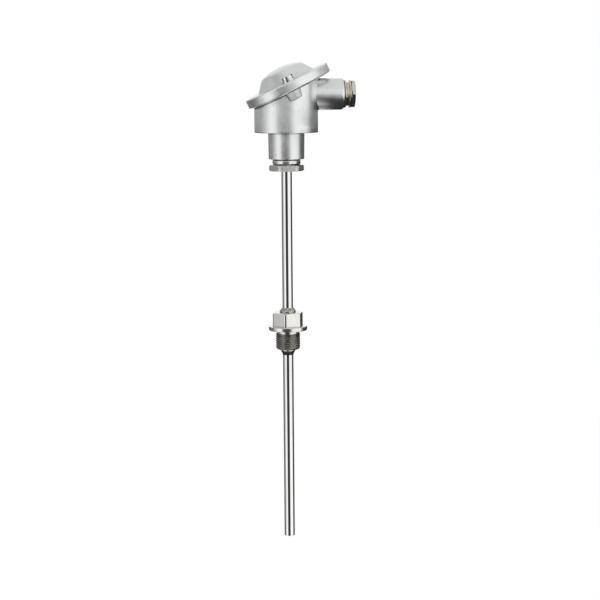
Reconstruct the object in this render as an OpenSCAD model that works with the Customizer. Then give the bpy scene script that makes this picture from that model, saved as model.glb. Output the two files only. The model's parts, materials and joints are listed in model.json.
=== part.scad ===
// Screw-in resistance thermometer: a slanted-cap terminal head on a neck tube,
// a threaded process fitting and a closed protection tube with a spring-loaded
// measuring insert inside.
//
// Frame: the origin is on the probe's axis at the sealing face under the
// fitting's collar.  +Z runs up to the head and +X points out of the cable entry.

/* [Probe lengths] */
// Neck: sealing face to the bottom edge of the head
neck_length = 145; // [100:5:200]
// Immersion: sealing face to the tip of the protection tube
immersion_length = 180; // [100:5:260]

/* [Protection tube] */
// Outside diameter of the one tube that forms neck and immersed stem
tube_d = 9; // [8.5:0.5:11]
// Wall of the tube
tube_wall = 1; // [0.8:0.1:1.2]
// Thickness of the welded end plug
plug_t = 3; // [2:0.5:5]
// Radius on the plug's outer edge
plug_round = 1; // [0.5:0.1:1.5]

/* [Process fitting] */
// Major diameter of the parallel pipe thread
thread_d = 20.955; // [18:0.005:27]
// Thread length below the sealing face, with its end chamfer
thread_length = 16.3; // [12:0.1:20]
// End chamfer of the thread
thread_chamfer = 1.3; // [0.8:0.1:2]
// Height of the thread relief under the collar
relief_h = 2.6; // [1.5:0.1:3.5]
// Depth of the thread relief
relief_depth = 1; // [0.5:0.1:1.5]
// Height of the cone where the relief runs out into the thread
relief_runout = 0.5; // [0.3:0.1:0.6]
// Diameter of the sealing collar
collar_d = 32.8; // [30:0.1:40]
// Thickness of the sealing collar
collar_t = 3.5; // [2.5:0.1:5]
// Hexagon across flats
fitting_af = 24; // [22:0.5:28]
// Amount turned off the hexagon's corners, in radius
fitting_corner_break = 0.4; // [0.2:0.1:1]
// Height of the hexagon above the collar
fitting_hex_h = 11.8; // [8:0.1:18]
// Angle of the hexagon's first corner from +X
fitting_hex_turn = 17; // [0:1:59]
// Height of the weld seam on top of the hexagon
top_weld_h = 3.9; // [3:0.1:6]
// Leg of the weld seam on top of the hexagon
top_weld_leg = 2.3; // [1.5:0.1:3]
// Bevel of the collar's edges
collar_edge = 0.6; // [0.3:0.1:1]
// Height of the weld seam under the thread
low_weld_h = 5; // [3:0.1:7]
// Leg of the weld seam under the thread
low_weld_leg = 1.8; // [1.5:0.1:3]

/* [Neck screw] */
// Thread diameter where the neck screw enters the head
neck_thread_d = 24; // [22:0.5:25]
// Length of thread inside the head
neck_engagement = 10.3; // [8:0.1:12]
// Hexagon across flats
neck_af = 27; // [26:0.5:30]
// Amount turned off the hexagon's corners, in radius
neck_corner_break = 0.9; // [0.2:0.1:1.2]
// Height of the hexagon
neck_hex_h = 5.2; // [4:0.1:10]
// Shank left showing between hexagon and head
neck_gap = 4.7; // [3:0.1:8]
// Depth of the turned groove in that shank, in radius
neck_groove = 1.1; // [0.8:0.1:1.4]
// Chamfer at both ends of the thread
neck_chamfer = 1; // [0.5:0.1:1.2]
// Angle of the hexagon's first corner from +X
neck_hex_turn = 1; // [0:1:59]
// Thickness of the collar brazed to the top of the tube
tube_collar_t = 2.8; // [2:0.1:4]
// Thickness of the fibre gasket above that collar
neck_gasket_t = 1; // [0.8:0.1:2]

/* [Head body] */
// Height of the neck boss
boss_h = 22.1; // [20:0.1:28]
// Wall of the neck boss round its thread, at its bottom edge
boss_wall = 3; // [2.5:0.1:5]
// Draft of the neck boss, in radius
boss_draft = 0.3; // [0.2:0.1:0.8]
// Wall of the body
body_wall = 3.7; // [3:0.1:5]
// Height of the body on the axis, up to the underside of the rim
body_h = 33.2; // [32:0.1:42]
// Radius on the body's bottom edge
body_round = 2.6; // [1.5:0.1:4]
// Thickness of the cavity's floor
floor_t = 4; // [3:0.1:6]
// Thickness of the slanted rim that carries the cover
rim_t = 4.4; // [3.5:0.1:6]
// Metal outside the cover screws on that rim
rim_edge = 4.2; // [4:0.1:5]

/* [Cover] */
// Slant of the cover
cover_tilt = 25; // [20:1:28]
// Offset of the cover's centre up the slant
cover_shift = 3.9; // [2:0.1:4]
// Thickness of the cover gasket
cover_gasket_t = 1.5; // [1:0.1:2]
// Thickness of the cover's flange over the gasket
cover_plate_t = 2.5; // [2:0.1:4]
// Thickness of the skirt that hides the rim
skirt_t = 3; // [2.5:0.1:4]
// Height of the dome above the flange
dome_h = 12.3; // [11:0.1:13]
// Slope of the dome's side wall
dome_slope = 53; // [50:1:60]
// Radius of the dome's crown
crown_r = 62; // [50:1:80]
// Radius between side wall and crown
dome_round = 4; // [3:0.1:5]
// Wall of the dome
dome_wall = 2.6; // [2:0.1:3]

/* [Cover screws] */
// Thread diameter
cover_screw_d = 6; // [5:0.5:6]
// Head diameter
cover_head_d = 10; // [9:0.1:11]
// Head height
cover_head_h = 3.4; // [3:0.1:5]
// Washer diameter
cover_washer_d = 12; // [11.5:0.1:13]
// Washer thickness
cover_washer_t = 1.4; // [1:0.1:2]
// Height of the lug under the rim that takes the screw
lug_h = 6.9; // [5:0.1:8]

/* [Cable entry] */
// Height of the entry's axis below the rim plane, on the head's axis
entry_drop = 1.3; // [1:0.1:2.5]
// Thread diameter of the entry
entry_thread_d = 20; // [18:0.5:20.5]
// Wall of the entry boss round its thread
entry_wall = 3.1; // [3:0.1:4]
// Reach of the entry boss from the head's axis
entry_reach = 48.1; // [46:0.1:56]
// Chamfer on the end of the boss
entry_chamfer = 1.8; // [1:0.1:2]
// Step of the saddle where boss and body meet
saddle_step = 1; // [0.8:0.1:2]

/* [Cable gland] */
// Length of the gland body inside the entry
gland_engagement = 13; // [12:0.5:16]
// Diameter of the gland body's two end beads
gland_bead_d = 23; // [22.5:0.1:24]
// Thickness of one end bead
gland_bead_t = 1.2; // [0.8:0.1:1.5]
// Diameter of the waist between the beads
gland_waist_d = 21.2; // [20.5:0.1:22]
// Length of the waist
gland_waist_l = 3; // [2.5:0.1:6]
// Thickness of the fibre gasket under the gland body
gland_gasket_t = 0.6; // [0.5:0.1:1]
// Thread diameter of the pressure screw
gland_thread_d = 17; // [16:0.1:17.4]
// Chamfer on the inner ends of the gland body and the pressure screw
gland_chamfer = 0.8; // [0.5:0.1:1]
// Pressure screw's hexagon across flats
gland_af = 22; // [21:0.5:24]
// Angle of the hexagon's first corner: at 30 a flat is up and a corner level
gland_hex_turn = 30; // [0:1:59]
// Amount turned off the hexagon's corners, in radius
gland_corner_break = 0.3; // [0.2:0.1:0.8]
// Height of that hexagon
gland_hex_h = 3.3; // [2.5:0.1:5]
// Bore of the pressure screw
gland_bore_d = 12; // [11:0.1:12.5]
// Bore of the rubber seal, which grips the cable
seal_bore_d = 9; // [6:0.1:10]
// Length of the rubber seal
seal_l = 7; // [5:0.1:8]
// Length of the gland body's narrow end behind the seal
gland_throat_l = 4; // [3:0.1:4.5]
// Thickness of the slip ring between seal and screw
slip_ring_t = 1; // [0.8:0.1:1.5]

/* [Measuring insert] */
// Diameter of the insert's mounting plate
plate_d = 42; // [41:0.5:45]
// Thickness of the mounting plate
plate_t = 1.5; // [1:0.1:2]
// Clearance between the plate and the head's wall
plate_gap = 2.05; // [1.5:0.05:3]
// Distance of the fixing screws' centres from the plate's edge
plate_edge = 4.5; // [4.3:0.1:5]
// Sheath diameter
sheath_d = 6; // [4.5:0.1:6]
// Sheath wall
sheath_wall = 0.5; // [0.3:0.1:0.8]
// Spring travel of the insert
insert_travel = 5; // [3:0.5:6]
// Height of the two posts on the cavity's floor
post_h = 2; // [1:0.1:3]
// Wall of those posts round their screws
post_wall = 2.4; // [2:0.1:3]
// Lift of the plate off its posts when the tip is on the plug
plate_lift = 3.4; // [1:0.1:4]
// Height of the ceramic terminal block
block_h = 11.5; // [10:0.1:12]
// Diameter of the hole for the leads in the block
block_bore_d = 9; // [8:0.1:10]
// Diameter of the sensing element
element_d = 3.2; // [1.5:0.1:3.2]
// Length of the sensing element
element_l = 25; // [10:1:30]
// Outside diameter of one lead wire
lead_d = 1.2; // [0.8:0.1:1.4]

/* [Terminals] */
// Length of a terminal, along X
terminal_l = 11.5; // [10:0.1:12]
// Width of a terminal, along Y
terminal_w = 6.2; // [6:0.1:6.6]
// Height of a terminal
terminal_h = 6.5; // [5:0.1:8]
// Distance of a terminal's outer end inside the block's rim, on its axis
terminal_inset = 1.7; // [1:0.1:2]
// Distance of a terminal's middle from the XZ plane
terminal_y = 6.4; // [6:0.1:7]
// Head diameter of a terminal screw
terminal_head_d = 5; // [4:0.1:5.5]
// Thread diameter of a terminal screw
terminal_screw_d = 3; // [2.5:0.1:3.5]
// Diameter of the wire way through a terminal
terminal_bore_d = 2.6; // [2:0.1:2.8]

/* [Insert fixing] */
// Thread diameter of the fixing screws
fixing_d = 4; // [3:0.5:4]
// Head diameter of the fixing screws
fixing_head_d = 7; // [6.6:0.1:7.5]
// Head height of the fixing screws
fixing_head_h = 2.6; // [2:0.1:3]
// Wire diameter of the springs
spring_wire_d = 0.8; // [0.6:0.1:0.8]
// Coils in each spring
spring_turns = 6; // [5:0.5:6]

/* [Earth screw] */
// Thread diameter of the earth screw
earth_d = 4; // [3:0.5:4]
// Head diameter of the earth screw
earth_head_d = 7; // [6:0.1:7]
// Head height of the earth screw
earth_head_h = 2.6; // [2:0.1:3]
// Angle of the earth screw from +X
earth_turn = 47; // [45:1:55]

/* [Clearances] */
// Radial clearance of a screw in its tapped hole
thread_gap = 0.1; // [0.05:0.01:0.1]
// Radial clearance of a screw in a plain hole
hole_gap = 0.3; // [0.2:0.05:0.4]
// Clearance between faces of pieces that move on each other
face_gap = 0.2; // [0.1:0.05:0.3]

/* [Hidden] */
$fn = 72;
cut = 1;              // how far a cutting solid runs past the face it cuts
arc_steps = 8;        // steps in a rounded edge
chamfer_angle = 25;   // chamfer of a hexagon's corners
weld_sink = 0.5;      // how far a weld reaches into the metal it joins
weld_arc = 45;        // arc of a weld's rounded shoulder
weld_round = 1.2;     // radius of that shoulder
groove_arc = 60;      // arc of the rounded corners in the neck screw's groove
cast_edge = 0.6;      // break on the casting's machined edges
turned_edge = 0.2;    // break on the edges of small turned pieces
c_t = cos(cover_tilt);
s_t = sin(cover_tilt);

tube_r = tube_d / 2;
bore_r = tube_r - tube_wall;
plug_top = plug_t - immersion_length;

// neck: screw, collar and gasket stack up inside the head's tapped boss
head_z = neck_length;
neck_screw_r = neck_thread_d / 2 - thread_gap;
neck_screw_top = head_z + neck_engagement;
tube_collar_z = neck_screw_top + face_gap;
tube_top = tube_collar_z + tube_collar_t;
neck_gasket_z = tube_top + face_gap;
shoulder_z = neck_gasket_z + neck_gasket_t;
pass_r = neck_thread_d / 2 - 3;  // free way for the insert above the shoulder
tube_collar_r = neck_thread_d / 2 - 1.4;

// head
body_z = head_z + boss_h;
floor_z = body_z + floor_t;
cavity_r = plate_d / 2 + plate_gap;
body_r = cavity_r + body_wall;
boss_r = neck_thread_d / 2 + boss_wall;
rim_z = body_z + body_h;
wall_top = rim_z + body_r * s_t / c_t + 2 * rim_t;  // above the slant all round
boss_fillet = 0.8;    // fillet where the boss meets the body's bottom
blind_wall = 1.2;     // metal left behind the blind tapped holes

// rim and cover, in the slanted frame whose plane is the rim's underside
screw_hole_r = cover_screw_d / 2 + hole_gap;
cover_screw_r = cavity_r + 3.6 + screw_hole_r;  // pitch radius of the cover screws
mouth_r = cover_screw_r - screw_hole_r - 1;     // inner edge of the cover gasket
rim_r = cover_screw_r + rim_edge;
skirt_in_r = rim_r + face_gap;
cover_r = skirt_in_r + skirt_t;
cover_seat = rim_t + cover_gasket_t;
cover_top = cover_seat + cover_plate_t;
dome_r = cover_screw_r - cover_head_d / 2 + hole_gap;
skirt_z = 0.2;        // lower edge of the skirt above the rim's underside
skirt_draft = 1.7;    // height of the skirt's slanted lower edge
skirt_round = 1;
cover_round = 1.3;
lug_r = cover_screw_d / 2 + 3.5;
lug_foot_r = cover_screw_d / 2 + 2.1;
cover_screw_l = cover_plate_t + cover_gasket_t + rim_t + lug_h - 2.2;

// cable entry and gland, measured along X
entry_z = rim_z - entry_drop;
entry_r = entry_thread_d / 2 + entry_wall;
saddle_r = entry_r + 0.8;
gland_face = entry_reach + gland_gasket_t;
gland_end = gland_face + 2 * gland_bead_t + gland_waist_l;
gland_inner_end = entry_reach - gland_engagement;
seal_x = gland_inner_end + gland_throat_l;
slip_ring_x = seal_x + seal_l + face_gap;
gland_screw_x = slip_ring_x + slip_ring_t + face_gap;
gland_hex_x = gland_end + face_gap;
gland_fit_r = gland_thread_d / 2 - thread_gap;
gland_pass_r = gland_bore_d / 2 + 0.5;

// measuring insert
post_top = floor_z + post_h;
plate_z = post_top + plate_lift;
plate_top = plate_z + plate_t;
sheath_tip = plug_top + face_gap;
sheath_top = plate_top + 3;
ferrule_h = 6;
ferrule_r = sheath_d / 2 + 2;
core_r = sheath_d / 2 - sheath_wall;
sheath_end_t = 1.5;
element_z = sheath_tip + sheath_end_t + 1;
block_r = plate_d / 2 - 1;
block_top = plate_top + block_h;
well_depth = 4;       // depth of the well that each terminal sits in
terminal_z = block_top - well_depth;
terminal_top = terminal_z + terminal_h;
lead_z = terminal_z + terminal_h * 0.55;
lead_pitch = 1.1;
terminal_x = block_r - terminal_inset - terminal_l;
well_gap = 0.15;      // clearance of a terminal in its well
block_edge = 0.8;     // bevel of the block's upper edge
chamber_y = terminal_y + lead_d;
chamber_z = lead_z - 2 * lead_d;
barrier_w = 2;        // width and depth of the slot between two terminals
fixing_y = plate_d / 2 - plate_edge;
spring_r = fixing_d / 2 + 0.5 + spring_wire_d / 2;
spring_l = spring_turns * spring_wire_d + insert_travel + face_gap;  // length as fitted
fixing_head_z = plate_top + spring_l;
spring_hole_r = fixing_head_d / 2 + 0.6;
wall_pad_t = 1.6;     // pad on the cavity's wall under the earth screw
earth_washer_t = 0.8;
earth_z = entry_z + 1.5;
earth_seat = cavity_r - wall_pad_t;

sides = ["front", "rear"];           // -Y and +Y
terminal_places = [[-1, -1], [1, -1], [-1, 1], [1, 1]];

// ---- helpers ------------------------------------------------------------

// points on an arc about [cx, cy], from angle a0 to a1
function arc(cx, cy, r, a0, a1, n = arc_steps) =
    [for (i = [0:n]) let (a = a0 + (a1 - a0) * i / n) [cx + r * cos(a), cy + r * sin(a)]];

function unit(v) = v / norm(v);

// direction of the path at point i
function heading(path, i) =
    unit(path[min(i + 1, len(path) - 1)] - path[max(i - 1, 0)]);

// round wire of radius r swept along a path; side is a vector the path never runs along
module sweep(path, r, n, side) {
    last = len(path) - 1;
    rings = [for (i = [0:last])
        let (t = heading(path, i), u = unit(cross(side, t)), v = cross(t, u))
        for (k = [0:n - 1]) path[i] + r * (cos(360 * k / n) * u + sin(360 * k / n) * v)];
    walls = [for (i = [0:last - 1], k = [0:n - 1])
        let (a = i * n + k, b = i * n + (k + 1) % n)
        each [[a, b + n, b], [a, a + n, b + n]]];
    start_cap = [for (k = [1:n - 2]) [0, k, k + 1]];
    end_cap = [for (k = [1:n - 2]) [last * n, last * n + k + 1, last * n + k]];
    polyhedron(rings, concat(walls, start_cap, end_cap));
}

module ring(r_out, r_in, h) {
    difference() {
        cylinder(r = r_out, h = h);
        translate([0, 0, -cut]) cylinder(r = r_in, h = h + 2 * cut);
    }
}

// plain cylinder with its top edge broken
module chamfered_rod(r, h, c) {
    rotate_extrude() polygon([[0, 0], [r, 0], [r, h - c], [r - c, h], [0, h]]);
}

// hexagon prism whose corners are turned off by corner_break and chamfered at both ends;
// one that stands on a collar sinks into it and has no chamfer there
module hexagon(af, corner_break, h, turn, sink = 0) {
    flat_r = af / 2 * 0.99;
    corner_r = af / 2 / cos(30) - corner_break;
    drop = (corner_r - flat_r) * tan(chamfer_angle);
    foot = sink > 0 ? [[0, -sink], [corner_r, -sink]] : [[0, 0], [flat_r, 0], [corner_r, drop]];
    intersection() {
        translate([0, 0, -sink]) rotate([0, 0, turn])
            cylinder(r = af / 2 / cos(30), h = h + sink, $fn = 6);
        rotate_extrude() polygon(concat(foot, [[corner_r, h - drop], [flat_r, h], [0, h]]));
    }
}

// slotted cheese-head screw: the underside of its head is at z = 0, its shank runs down
module slotted_screw(d, head_d, head_h, l) {
    slot_w = d * 0.26;
    slot_depth = head_h * 0.42;
    difference() {
        union() {
            rotate_extrude() polygon(concat(
                [[0, 0], [head_d / 2, 0]],
                arc(head_d / 2 - 0.5, head_h - 0.5, 0.5, 0, 90),
                [[0, head_h]]));
            mirror([0, 0, 1]) chamfered_rod(d / 2, l, 0.5);
        }
        translate([-head_d, -slot_w / 2, head_h - slot_depth])
            cube([2 * head_d, slot_w, slot_depth + cut]);
    }
}

// puts its children in the cover's frame: origin at the cover's centre on the rim plane
module slanted() {
    translate([cover_shift * c_t, 0, rim_z + cover_shift * s_t])
        rotate([0, -cover_tilt, 0]) children();
}

// puts its children on the cable entry's axis, with their Z along +X
module along_entry(x) {
    translate([x, 0, entry_z]) rotate([0, 90, 0]) children();
}

// puts its children at the front (-Y) or rear (+Y) place, at distance y from the middle
module at_side(side, y) {
    translate([0, side == "front" ? -y : y, 0]) children();
}

// ---- stem ---------------------------------------------------------------

module process_fitting() {
    thread_r = thread_d / 2;
    hex_z = collar_t;
    weld_z = collar_t + fitting_hex_h;
    c = collar_edge;
    color("silver") difference() {
        union() {
            rotate_extrude() polygon([
                [0, hex_z], [collar_d / 2 - c, hex_z], [collar_d / 2, hex_z - c],
                [collar_d / 2, c], [collar_d / 2 - c, 0],
                [thread_r - relief_depth, 0], [thread_r - relief_depth, -relief_h + relief_runout],
                [thread_r, -relief_h], [thread_r, -thread_length + thread_chamfer],
                [thread_r - thread_chamfer, -thread_length], [0, -thread_length]]);
            translate([0, 0, hex_z])
                hexagon(fitting_af, fitting_corner_break, fitting_hex_h, fitting_hex_turn,
                        sink = collar_t / 2);
            rotate_extrude() polygon(concat(
                [[0, weld_z - weld_sink], [tube_r + top_weld_leg, weld_z - weld_sink]],
                arc(tube_r + top_weld_leg - weld_round, weld_z + weld_round, weld_round, 0, weld_arc),
                [[tube_r + turned_edge, weld_z + top_weld_h], [0, weld_z + top_weld_h]]));
            rotate_extrude() polygon(concat(
                [[0, weld_sink - thread_length], [0, -thread_length - low_weld_h],
                 [tube_r + turned_edge, -thread_length - low_weld_h]],
                arc(tube_r + low_weld_leg - weld_round, -thread_length - weld_round, weld_round,
                    -weld_arc, 0),
                [[tube_r + low_weld_leg, weld_sink - thread_length]]));
        }
        translate([0, 0, -thread_length - low_weld_h - cut])
            cylinder(r = tube_r, h = thread_length + low_weld_h + weld_z + top_weld_h + 2 * cut);
    }
}

module protection_tube() {
    color("lightgray") translate([0, 0, plug_top])
        ring(tube_r, bore_r, tube_top - plug_top);
}

module tip_plug() {
    color("lightgray") translate([0, 0, -immersion_length])
        rotate_extrude() polygon(concat(
            [[0, 0]], arc(tube_r - plug_round, plug_round, plug_round, -90, 0),
            [[tube_r, plug_t], [0, plug_t]]));
}

module tube_collar() {
    color("silver") translate([0, 0, tube_collar_z])
        ring(tube_collar_r, tube_r, tube_collar_t);
}

// ---- neck ---------------------------------------------------------------

module neck_screw() {
    hex_z = head_z - neck_gap - neck_hex_h;
    r = neck_screw_r;
    c = neck_chamfer;
    root = r - neck_groove;
    top = neck_gap + neck_engagement;
    color("silver") difference() {
        union() {
            translate([0, 0, hex_z]) hexagon(neck_af, neck_corner_break, neck_hex_h, neck_hex_turn);
            translate([0, 0, hex_z + neck_hex_h]) rotate_extrude() polygon(concat(
                [[0, 0], [root, 0]],
                arc(root, neck_groove, neck_groove, -groove_arc, 0, 5),
                arc(root, neck_gap - neck_groove, neck_groove, 0, groove_arc, 5),
                [[root, neck_gap], [root, neck_gap + c], [r, neck_gap + 2 * c],
                 [r, top - c], [r - c, top], [0, top]]));
        }
        translate([0, 0, hex_z - cut])
            cylinder(r = tube_r + face_gap, h = neck_hex_h + top + 2 * cut);
    }
}

module neck_gasket() {
    color("darkred") translate([0, 0, neck_gasket_z])
        ring(neck_thread_d / 2 - hole_gap, pass_r + hole_gap, neck_gasket_t);
}

// ---- head ---------------------------------------------------------------

// outside of the cast body before its rim is cut: boss, bottom and wall
module body_of_revolution() {
    rotate_extrude() polygon(concat(
        [[0, head_z], [boss_r - cast_edge, head_z], [boss_r, head_z + cast_edge],
         [boss_r + boss_draft, body_z - boss_fillet], [boss_r + boss_draft + boss_fillet, body_z]],
        arc(body_r - body_round, body_z + body_round, body_round, -90, 0),
        [[body_r, wall_top], [0, wall_top]]));
}

module head_housing() {
    color("gainsboro") difference() {
        union() {
            body_of_revolution();
            slanted() rotate_extrude() polygon([
                [0, 0], [rim_r - cast_edge, 0], [rim_r, cast_edge], [rim_r, rim_t], [0, rim_t]]);
            for (side = sides) slanted() at_side(side, cover_screw_r)
                rotate_extrude() polygon(concat(
                    [[0, -lug_h]], arc(lug_foot_r - 1, 1 - lug_h, 1, -90, 0),
                    [[lug_r, 0], [lug_r, rim_t / 2], [0, rim_t / 2]]));
            along_entry(0) chamfered_rod(entry_r, entry_reach, entry_chamfer);
            intersection() {
                along_entry(0) cylinder(r = saddle_r, h = body_r + saddle_step);
                cylinder(r = body_r + saddle_step, h = rim_z + 2 * body_r);
            }
        }
        // what the cover takes: all above the rim, and room for its skirt all round
        slanted() translate([0, 0, rim_t]) cylinder(r = 3 * body_r, h = 3 * body_r);
        slanted() ring(cover_r + 3 * body_r, rim_r, 3 * body_r);
        // wiring chamber, with the posts that carry the insert left standing
        difference() {
            translate([0, 0, floor_z]) cylinder(r = cavity_r, h = rim_z + 2 * body_r);
            for (side = sides) at_side(side, fixing_y)
                cylinder(r = fixing_d / 2 + post_wall, h = post_top);
            rotate([0, 0, earth_turn]) translate([earth_seat, 0, earth_z]) rotate([0, 90, 0])
                cylinder(r = earth_head_d / 2 + 1, h = cavity_r);
        }
        translate([0, 0, head_z - cut]) cylinder(r = neck_thread_d / 2, h = shoulder_z - head_z + cut);
        cylinder(r = pass_r, h = floor_z + cut);
        along_entry(0) cylinder(r = entry_thread_d / 2, h = entry_reach + cut);
        for (side = sides) {
            slanted() at_side(side, cover_screw_r)
                translate([0, 0, 1 - lug_h]) cylinder(r = cover_screw_d / 2 + thread_gap, h = lug_h + rim_t);
            at_side(side, fixing_y) translate([0, 0, body_z + blind_wall])
                cylinder(r = fixing_d / 2 + thread_gap, h = post_top - body_z);
        }
        rotate([0, 0, earth_turn]) translate([earth_seat - cut, 0, earth_z]) rotate([0, 90, 0])
            cylinder(r = earth_d / 2 + thread_gap, h = wall_pad_t + body_wall - blind_wall + cut);
    }
}

// dome outline from its foot to the crown: side wall, rounded shoulder, crown
function dome(foot_r, foot_h, slope, crown, crown_h, round) =
    let (centre = [0, crown_h - crown], foot = [foot_r, foot_h],
         along = [-cos(slope), sin(slope)], inward = [-sin(slope), -cos(slope)],
         from = foot - centre + round * inward, dot = from * along,
         s = -dot + sqrt(dot * dot - from * from + (crown - round) * (crown - round)),
         c = foot + s * along + round * inward,
         end = atan2(c.y - centre.y, c.x))
    concat([foot], arc(c.x, c.y, round, 90 - slope, end),
           arc(centre.x, centre.y, crown, end + (90 - end) / 12, 90, 11));

module head_cover() {
    outside = dome(dome_r, cover_top, dome_slope, crown_r, cover_top + dome_h, dome_round);
    shift_in = dome_wall / sin(dome_slope);
    lip_r = dome_r - shift_in + cover_plate_t / tan(dome_slope);
    inside = dome(lip_r, cover_seat, dome_slope, crown_r - dome_wall,
                  cover_top + dome_h - dome_wall, dome_round - dome_wall);
    color("gainsboro") slanted() difference() {
        rotate_extrude() polygon(concat(
            [[skirt_in_r, cover_seat], [skirt_in_r, skirt_z + 0.1], [skirt_in_r + 0.4, skirt_z],
             [cover_r - skirt_round, skirt_z + skirt_draft]],
            arc(cover_r - skirt_round, skirt_z + skirt_draft + skirt_round, skirt_round, -45, 0, 4),
            arc(cover_r - cover_round, cover_top - cover_round, cover_round, 0, 90, 5),
            outside,
            [for (i = [len(inside) - 1:-1:0]) inside[i]]));
        for (side = sides) at_side(side, cover_screw_r) {
            translate([0, 0, cover_seat - cut]) cylinder(r = screw_hole_r, h = cover_plate_t + 2 * cut);
            translate([0, 0, cover_top]) cylinder(r = cover_washer_d / 2 + hole_gap, h = dome_h);
        }
    }
}

module cover_gasket() {
    color("dimgray") difference() {
        slanted() translate([0, 0, rim_t]) ring(rim_r - 0.1, mouth_r, cover_gasket_t);
        slanted() for (side = sides) at_side(side, cover_screw_r)
            cylinder(r = screw_hole_r, h = cover_top);
        translate([0, 0, floor_z]) cylinder(r = cavity_r, h = rim_z);
    }
}

module cover_screw(side) {
    color("silver") slanted() at_side(side, cover_screw_r)
        translate([0, 0, cover_top + cover_washer_t]) rotate([0, 0, side == "front" ? -38 : 20])
            slotted_screw(cover_screw_d, cover_head_d, cover_head_h, cover_screw_l + cover_washer_t);
}

module cover_washer(side) {
    color("silver") slanted() at_side(side, cover_screw_r)
        translate([0, 0, cover_top]) ring(cover_washer_d / 2, screw_hole_r, cover_washer_t);
}

// ---- cable gland --------------------------------------------------------

module gland_body() {
    r = entry_thread_d / 2 - thread_gap;
    x0 = gland_inner_end;
    bead = gland_bead_d / 2;
    waist = gland_waist_d / 2;
    neck = gland_face + gland_bead_t;
    c = turned_edge;
    color("darkkhaki") along_entry(0) difference() {
        rotate_extrude() polygon([
            [0, x0], [r - gland_chamfer, x0], [r, x0 + gland_chamfer], [r, gland_face],
            [bead - c, gland_face], [bead, gland_face + c], [bead, neck - c], [bead - c, neck],
            [waist, neck + c], [waist, neck + gland_waist_l - c],
            [bead - c, neck + gland_waist_l], [bead, neck + gland_waist_l + c],
            [bead, gland_end - c], [bead - c, gland_end], [0, gland_end]]);
        translate([0, 0, x0 - cut]) cylinder(r = gland_pass_r, h = gland_end);
        translate([0, 0, seal_x]) cylinder(r = gland_thread_d / 2, h = gland_end);
    }
}

module gland_gasket() {
    color("black") along_entry(entry_reach)
        ring(entry_r - entry_chamfer, entry_thread_d / 2, gland_gasket_t);
}

module gland_seal() {
    color("black") along_entry(seal_x) ring(gland_fit_r, seal_bore_d / 2, seal_l);
}

module gland_slip_ring() {
    color("darkkhaki") along_entry(slip_ring_x) ring(gland_fit_r, gland_bore_d / 2, slip_ring_t);
}

module gland_screw() {
    r = gland_fit_r;
    c = gland_chamfer;
    bore_r = gland_bore_d / 2;
    l = gland_hex_x - gland_screw_x;
    color("darkkhaki") along_entry(gland_screw_x) difference() {
        union() {
            rotate_extrude() polygon([[0, 0], [r - c, 0], [r, c], [r, l], [0, l]]);
            translate([0, 0, l]) hexagon(gland_af, gland_corner_break, gland_hex_h, gland_hex_turn);
        }
        translate([0, 0, -cut]) cylinder(r = bore_r, h = l + gland_hex_h + 2 * cut);
        translate([0, 0, l + gland_hex_h - c])
            cylinder(r1 = bore_r, r2 = bore_r + c + cut, h = c + cut);
    }
}

// ---- earth screw --------------------------------------------------------

module on_earth_axis(inset) {
    rotate([0, 0, earth_turn]) translate([earth_seat - inset, 0, earth_z])
        rotate([0, -90, 0]) children();
}

module earth_screw() {
    color("darkkhaki") on_earth_axis(earth_washer_t)
        slotted_screw(earth_d, earth_head_d, earth_head_h, wall_pad_t + body_wall - 1);
}

module earth_washer() {
    color("darkkhaki") on_earth_axis(0)
        ring(earth_head_d / 2 + 0.6, earth_d / 2 + hole_gap, earth_washer_t);
}

// ---- measuring insert ---------------------------------------------------

module insert_plate() {
    color("lightgray") difference() {
        translate([0, 0, plate_z]) ring(plate_d / 2, sheath_d / 2, plate_t);
        for (side = sides) at_side(side, fixing_y)
            cylinder(r = fixing_d / 2 + hole_gap, h = plate_top + cut);
    }
}

module insert_ferrule() {
    color("darkkhaki") translate([0, 0, plate_z - ferrule_h])
        rotate_extrude() polygon([
            [sheath_d / 2, 0], [ferrule_r - 1, 0], [ferrule_r, 1],
            [ferrule_r, ferrule_h], [sheath_d / 2, ferrule_h]]);
}

module insert_sheath() {
    r = sheath_d / 2;
    color("lightgray") translate([0, 0, sheath_tip]) difference() {
        rotate_extrude() polygon(concat(
            [[0, 0]], arc(r - 1, 1, 1, -90, 0), [[r, sheath_top - sheath_tip], [0, sheath_top - sheath_tip]]));
        translate([0, 0, sheath_end_t]) cylinder(r = core_r, h = sheath_top - sheath_tip);
    }
}

module insulation_core() {
    z = sheath_tip + sheath_end_t;
    color("white") difference() {
        translate([0, 0, z]) cylinder(r = core_r, h = sheath_top - 2 - z);
        translate([0, 0, element_z]) cylinder(r = element_d / 2 + 0.05, h = element_l + 0.1);
    }
}

module sensing_element() {
    color("linen") translate([0, 0, element_z]) cylinder(r = element_d / 2, h = element_l);
}

module sheath_seal() {
    color("saddlebrown") difference() {
        translate([0, 0, sheath_top - 2]) cylinder(r = core_r, h = 2);
        for (p = terminal_places) translate([p.x * lead_pitch, p.y * lead_pitch, sheath_top - 1])
            cylinder(r = lead_d / 2 + 0.05, h = 2);
    }
}

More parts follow.
